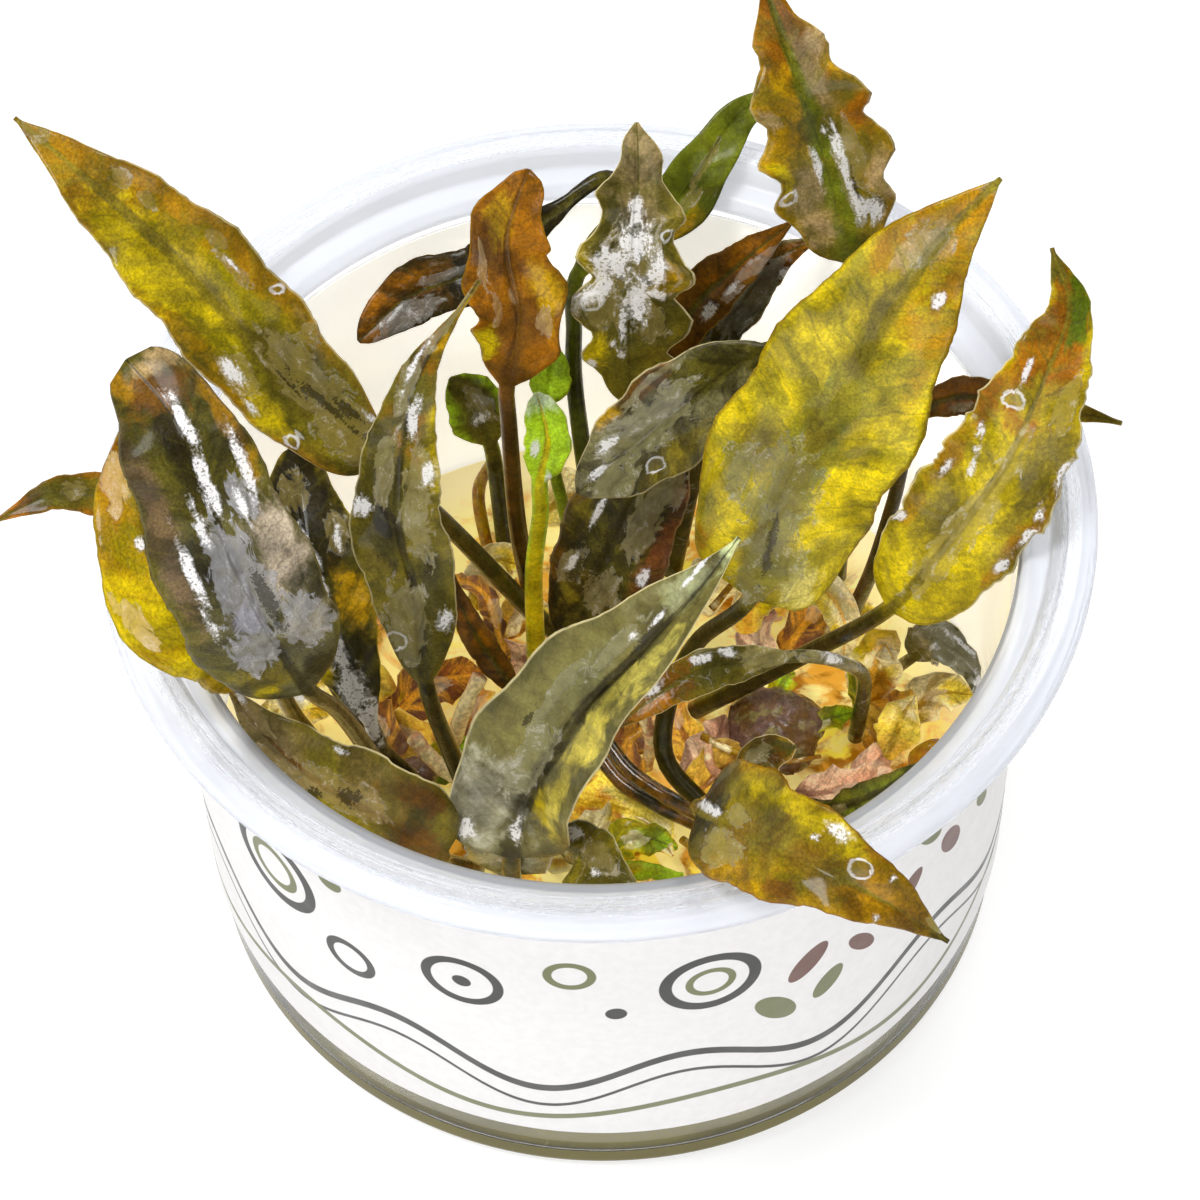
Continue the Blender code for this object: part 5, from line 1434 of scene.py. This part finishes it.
# Litter: the four tones of each mix (base, middle, veins, edge), then each scrap's mix, its middle, its
# heading in degrees, its length and width, its rise and its curl, and then the fine roots' routes
SCRAP_AMBER = (0.70, 0.33, 0.02)
RUST = (0.27, 0.09, 0.02)
ROSE = (0.62, 0.32, 0.18)
MIXES = {
    "amber": (SCRAP_AMBER, (0.75, 0.46, 0.05), RUST, (0.80, 0.58, 0.20)),
    "rust": (RUST, (0.12, 0.05, 0.02), SCRAP_AMBER, SCRAP_AMBER),
    "rose": (ROSE, (0.75, 0.50, 0.30), (0.26, 0.11, 0.06), (0.85, 0.68, 0.48)),
    "straw": ((0.82, 0.62, 0.05), "cream", "gold", "cream"),
    "green": ("lime", "yellow", "leek", "lime"),
}
SCRAPS = (
    ("amber", 14, -5, 20, 12, 6, 2, 30), ("rose", 10.5, -1, 60, 10, 5, 2.5, -30),
    ("amber", 9, 2.5, 110, 9, 5, 2, 40), ("rose", 25, -5.5, 10, 10, 5, 2, 40),
    ("rose", 29.5, -4.5, 70, 7, 4.5, 2, -20), ("green", 23, 1.5, 20, 9, 3, 4, 10),
    ("green", 28, 4, 110, 8, 1.8, 5, 10), ("amber", 30, 2, 80, 8, 6, 2.5, 30),
    ("straw", 36, 4, 20, 8, 5, 2, 20), ("green", 19, 6, 50, 5, 2.5, 4.5, 0),
    ("rose", 18, 13, 80, 8, 5, 3, 50), ("rust", 22, 16, 60, 9, 5, 3, 40),
    ("amber", -4, -5.5, 160, 12, 7, 2, 30), ("rust", 1, -4, 100, 9, 5, 2.5, 20),
    ("green", 3, -13.5, 5, 9, 4, 2.5, 10), ("straw", -1, -10, 30, 8, 5, 1.5, 20),
    ("straw", -11, 21, 40, 6, 5, 5, 30), ("amber", -9, 18, 70, 6, 4, 4, 40),
    ("straw", -8, 15.5, 10, 7, 3.5, 3, 20), ("rust", -14, 14, 120, 16, 2.2, 8, 10),
    ("rose", -10, 12, 165, 7, 4, 3, 40), ("amber", -14.5, 5, 75, 7, 4, 2, 20),
    ("rust", -18, 7, 30, 12, 6, 1.5, 30), ("amber", -21, 0, 150, 11, 6, 1.5, 30),
    ("green", -16, -1, 60, 6, 4, 1.5, 20), ("rust", -25, 2, 100, 9, 6, 1.5, 30),
    ("straw", -33, 5, 10, 8, 5, 1.2, 20), ("rust", -31, -3, 60, 9, 5, 1.5, 30),
    ("amber", -26, 14, 60, 11, 6, 1.5, 20), ("rust", 4, 3, 45, 9, 5, 2, 20),
    ("amber", 2, -21, 15, 11, 6, 1.5, 30), ("rust", -8, -24, 150, 11, 6, 1.2, 20),
    ("amber", 16, -22, 30, 12, 6, 1.2, 30), ("straw", 12, 22, 30, 10, 6, 1.2, 20),
    ("straw", 27, 14, 40, 9, 5, 1.4, 20), ("amber", 12, -14, 80, 9, 5, 1.5, 30),
    ("rose", 33, -11, 40, 8, 4.5, 1.4, 30), ("amber", -24, -18, 130, 11, 6, 1.2, 20),
    ("straw", -2, 32, 10, 10, 6, 1.2, 20), ("amber", 17, 28, 140, 9, 5, 1.4, 30),
)
FINE_ROOTS = (
    ((10.5, -1, 19), (14, -3.5, 19.5), (19, -4.5, 19), (23, -3, 17.5)),
    ((8, -12, 16), (11, -16, 17), (9, -21, 17), (4, -23, 16)),
    ((-12, -2, 17), (-16, -7, 18), (-15, -13, 17)),
    ((12, 16, 18), (16, 19, 20), (22, 18, 19)),
    ((-18, 12, 17), (-22, 16, 18), (-21, 22, 17)),
    ((32, -6, 16), (30, -12, 17), (24, -15, 16)),
)


class OBJECT_OT_cryptocoryne_litter(bpy.types.Operator):
    """Build the loose scraps of old leaves and the fine roots that lie on the gel"""

    bl_idname = "object.cryptocoryne_litter"
    bl_label = "Litter"

    def execute(self, context):
        # Scraps glow a little of themselves, painted light for light through thin tissue; their film is
        # painted sheen
        looks = {
            key: look(first, second, first, second, third, midrib=third, blotch_size=1.6, cover=0.42,
                      veins=third, vein_share=0.4, edge=edge, under=first, through=0.16,
                      film_tone=(0.7, 0.56, 0.34), film_share=0.4)
            for key, (first, second, third, edge) in MIXES.items()
        }
        for i, (key, x, y, degrees, length, width, rise, curl) in enumerate(SCRAPS):
            turn = math.radians(degrees)
            half = Vector((math.cos(turn), math.sin(turn))) * length / 2
            bow = Vector((-half.y, half.x)) * 0.25 * (-1) ** i
            route = [
                (x - half.x, y - half.y, LITTER_LEVEL), (x + bow.x, y + bow.y, LITTER_LEVEL + rise),
                (x + half.x, y + half.y, LITTER_LEVEL + 0.5 * rise)
            ]
            facing = (0.5 * math.sin(i * 2.4), 0.5 * math.cos(i * 2.4) - 0.3, 0.8)
            grow("scrap_%02d" % i, "old_leaf", route, looks[key], film=((0.4, length * 0.6, 0.9, 1.4),),
                 blade_from=0, width=width, curl=curl, faces=(facing, FRONT), ruffle=0.7, waves=2, lobe=0.15,
                 frill=2.5, ends=(0.5, 0.5), stalk=0.4, replace=False)
        warm = plain_finish("fine_root_amber", ("gold", "orange", "cream"), 3.0, rough=0.3)
        for i, route in enumerate(FINE_ROOTS):
            piece("fine_root_%d" % i, *tube(route, 0.45, 0.5, float(i)), warm, slot="root")
        return {"FINISHED"}


class OBJECT_OT_cryptocoryne_roots(bpy.types.Operator):
    """Build the bare stalks and the roots that show above the gel"""

    bl_idname = "object.cryptocoryne_roots"
    bl_label = "Stalks and Roots"

    def execute(self, context):
        dark = plain_finish("stalk_brown", ("dark", "brown"), 3.0, rough=0.2, coat=0.6)
        pink = plain_finish("root_salmon", ("salmon", "cream"), 3.0)
        warm = plain_finish("root_orange", ("gold", "orange"), 3.0, rough=0.3)
        for name, finish, slot, radius, route in (
            ("stalk_front_one", dark, "leaf_brown", 0.9,
             ((-1, -4, 22), (2, -8, 21), (7, -11, 20), (10, -11, 17))),
            ("stalk_front_two", dark, "leaf_brown", 0.8,
             ((0, -6, 27), (3, -10, 26), (8, -13.5, 25), (10, -13, 22))),
            ("root_left", pink, "root", 0.9, ((-13, 4, 24), (-15, 2, 20), (-16, 1, 16))),
            ("root_front", pink, "root", 0.7, ((4, -1, 25), (5, -2, 20), (4.5, -2.5, 15.5))),
            ("root_left_front", pink, "root", 0.9, ((-20, -3.5, 24), (-18, -4.5, 21), (-15.5, -5, 18))),
            ("root_right", pink, "root", 0.5, ((11, -3.5, 21), (11.5, -6, 20), (15.5, -6.5, 17))),
            ("root_hook", warm, "leaf_orange", 0.8, ((33, -5, 16), (33, -5, 20), (35, -5, 22), (36, -4, 18))),
            ("root_back", warm, "leaf_orange", 0.7, ((-11, 36, 20), (-13, 31, 20), (-12, 25, 16))),
        ):
            vertices, faces = tube(route, radius, seed=float(len(name)))
            piece(name + "_strand", vertices, faces, finish, [name], slot)
        return {"FINISHED"}


# Crowns

def crown(name, finish, x, y, across, height, lumps, seed):
    """A wrinkled mound of short stem and leaf bases, standing on the gel."""
    rings, sides = 26, 44
    vertices = []
    for i in range(rings):
        level = math.cos(math.pi * (1.0 - (i + 0.5) / rings))
        spread = math.sqrt(1.0 - level**2)
        for j in range(sides):
            turn = 2.0 * math.pi * j / sides
            spot = Vector((spread * math.cos(turn), spread * math.sin(turn), level))
            crease = abs(
                noise.noise(spot * 3.5 + Vector((seed, 0, 0))) * 0.16
                + noise.noise(spot * 8.0 + Vector((0, seed, 0))) * 0.07
            )
            swell = 1.0 + lumps * math.sin(3.0 * turn + 4.0 * level) * spread**2
            size = 0.5 * across * spread * swell * (1.0 - crease * 1.3)
            rise = 1.0 + level * (1.0 - crease * (level > 0))
            vertices.append((
                x + size * math.cos(turn), y + size * math.sin(turn), GEL_TOP + 0.3 + rise * 0.5 * height
            ))
    piece(name + "_mound", vertices, ring_faces(rings, sides), finish, [name], "crown")


class OBJECT_OT_cryptocoryne_crowns(bpy.types.Operator):
    """Build the crowns that the leaves grow from"""

    bl_idname = "object.cryptocoryne_crowns"
    bl_label = "Crowns"

    def execute(self, context):
        # The sheen tone is painted sheen, laid in noisy patches on the brown and plum
        finish = plain_finish("crown_brown", ("brown", "plum", "sheen"), 3.2, coat=0.6, deep=0.0008)
        crown("crown_left", finish, -20, -3.5, 4.6, 4.0, 0.15, 1.0)
        crown("crown_front", finish, -10, -12.5, 4.2, 4.0, 0.12, 2.0)
        crown("crown_centre", finish, -0.8, 11, 4.2, 4.5, 0.12, 3.0)
        crown("crown_back", finish, 4, 27, 4.2, 4.0, 0.12, 4.0)
        crown("crown_right", finish, 18.5, 0.5, 10.5, 6.5, 0.10, 5.0)
        crown("crown_far_right", finish, 24, 19, 4.2, 4.0, 0.12, 6.0)
        return {"FINISHED"}


# Stage, in metres: the floor, what the lights look at, and the camera's place, tilt and roll
FLOOR_REACH = 1.2
FLOOR_BEND = 0.5
FLOOR_WALL = 0.4
LIT_SPOT = Vector((0, 0, 0.04))
CAMERA_SPOT = (0.0, -0.3021, 0.4835)
CAMERA_TILT = 0.969
CAMERA_ROLL = -0.027


def build_floor(settings):
    """A flat pale floor that bends up into a wall all round."""
    finish, tree, shader = new_material("floor")
    shade = ramp(grain(object_places(tree)[0], 3.0), 0.3, 0.7, 0.99, 1.01)
    put_all(shader, {
        "Base Color": shaded(tuple(settings.floor), shade), "Roughness": 0.7,
        "Emission Color": (1.0, 1.0, 1.0), "Emission Strength": settings.glow
    })
    # The first ring is doubled, so that the flat part is shaded flat
    profile = [(FLOOR_REACH, 0.0)]
    for degrees in range(0, 90, 10):
        rise = math.radians(degrees)
        profile.append((FLOOR_REACH + FLOOR_BEND * math.sin(rise), FLOOR_BEND * (1.0 - math.cos(rise))))
    profile[-1] = (profile[-1][0], profile[-1][1] + FLOOR_WALL)
    sides = 48
    vertices, faces = turned(profile, sides)
    mesh = bpy.data.meshes.new("floor")
    mesh.from_pydata(vertices, [], [tuple(range(sides)), *faces])
    mesh.shade_smooth()
    mesh.materials.append(finish)
    floor = bpy.data.objects.new("floor", mesh)
    bpy.context.scene.collection.objects.link(floor)


class OBJECT_OT_cryptocoryne_stage(bpy.types.Operator):
    """Build the pale floor with its raised border, the soft lights and the camera"""

    bl_idname = "object.cryptocoryne_stage"
    bl_label = "Stage"

    def execute(self, context):
        scene = context.scene
        settings = scene.cryptocoryne_stage
        scene.view_settings.view_transform = "Standard"
        build_floor(settings)

        scene.world = scene.world or bpy.data.worlds.new("world")
        scene.world.use_nodes = True
        sky = scene.world.node_tree.nodes["Background"]
        put_all(sky, {"Color": (1.0, 1.0, 1.0), "Strength": settings.sky})

        for name, at, size, power in (
            ("key_light", (-0.29, -0.10, 0.72), 0.22, settings.key),
            ("back_light", (0.25, 0.35, 0.60), 0.30, settings.back),
            ("front_light", (-0.15, -0.75, 0.25), 0.50, settings.front),
        ):
            lamp = bpy.data.lights.new(name, "AREA")
            lamp.size = size
            lamp.energy = power
            made = bpy.data.objects.new(name, lamp)
            made.location = at
            made.rotation_euler = (LIT_SPOT - Vector(at)).to_track_quat("-Z", "Y").to_euler()
            scene.collection.objects.link(made)

        ahead = Vector((0.0, math.cos(CAMERA_TILT), -math.sin(CAMERA_TILT)))
        level = ahead.cross(Vector((0, 0, 1))).normalized()
        rise = level.cross(ahead)
        right = level * math.cos(CAMERA_ROLL) + rise * math.sin(CAMERA_ROLL)
        above = rise * math.cos(CAMERA_ROLL) - level * math.sin(CAMERA_ROLL)
        data = bpy.data.cameras.new("camera")
        data.sensor_width = 36.0
        data.lens = settings.lens
        data.clip_start = 0.01
        scene.camera = bpy.data.objects.new("camera", data)
        turn = Matrix((right, above, -ahead)).transposed().to_4x4()
        scene.camera.matrix_world = Matrix.Translation(CAMERA_SPOT) @ turn
        scene.collection.objects.link(scene.camera)
        return {"FINISHED"}


class VIEW3D_PT_cryptocoryne(bpy.types.Panel):
    """Lists the pieces and their settings"""

    bl_idname = "VIEW3D_PT_cryptocoryne"
    bl_label = "Cryptocoryne"
    bl_space_type = "VIEW_3D"
    bl_region_type = "UI"
    bl_category = "Plant"

    def draw(self, context):
        for group in (plant(), cup_settings(), context.scene.cryptocoryne_stage):
            box = self.layout.box()
            for key in group.bl_rna.properties.keys():
                if key not in ("rna_type", "name"):
                    box.prop(group, key)
        for operator in OPERATORS:
            self.layout.operator(operator.bl_idname)


OPERATORS = (
    OBJECT_OT_cryptocoryne_stage,
    OBJECT_OT_cryptocoryne_cup,
    OBJECT_OT_cryptocoryne_gel,
    OBJECT_OT_cryptocoryne_label,
    OBJECT_OT_cryptocoryne_left_leaves,
    OBJECT_OT_cryptocoryne_middle_leaves,
    OBJECT_OT_cryptocoryne_back_leaves,
    OBJECT_OT_cryptocoryne_right_leaves,
    OBJECT_OT_cryptocoryne_front_leaves,
    OBJECT_OT_cryptocoryne_old_leaves,
    OBJECT_OT_cryptocoryne_litter,
    OBJECT_OT_cryptocoryne_roots,
    OBJECT_OT_cryptocoryne_crowns,
)
CLASSES = (PlantSettings, CupSettings, StageSettings, *OPERATORS, VIEW3D_PT_cryptocoryne)


def register():
    """Adds the settings, the operators and the panel."""
    for item in CLASSES:
        bpy.utils.register_class(item)
    bpy.types.Scene.cryptocoryne_plant = PointerProperty(type=PlantSettings)
    bpy.types.Scene.cryptocoryne_cup = PointerProperty(type=CupSettings)
    bpy.types.Scene.cryptocoryne_stage = PointerProperty(type=StageSettings)


def unregister():
    """Takes them away again."""
    del bpy.types.Scene.cryptocoryne_stage
    del bpy.types.Scene.cryptocoryne_cup
    del bpy.types.Scene.cryptocoryne_plant
    for item in reversed(CLASSES):
        bpy.utils.unregister_class(item)


def main():
    """Builds every piece."""
    register()
    for operator in OPERATORS:
        kind, name = operator.bl_idname.split(".")
        getattr(getattr(bpy.ops, kind), name)()
    bpy.context.view_layer.update()


if __name__ == "__main__":
    main()
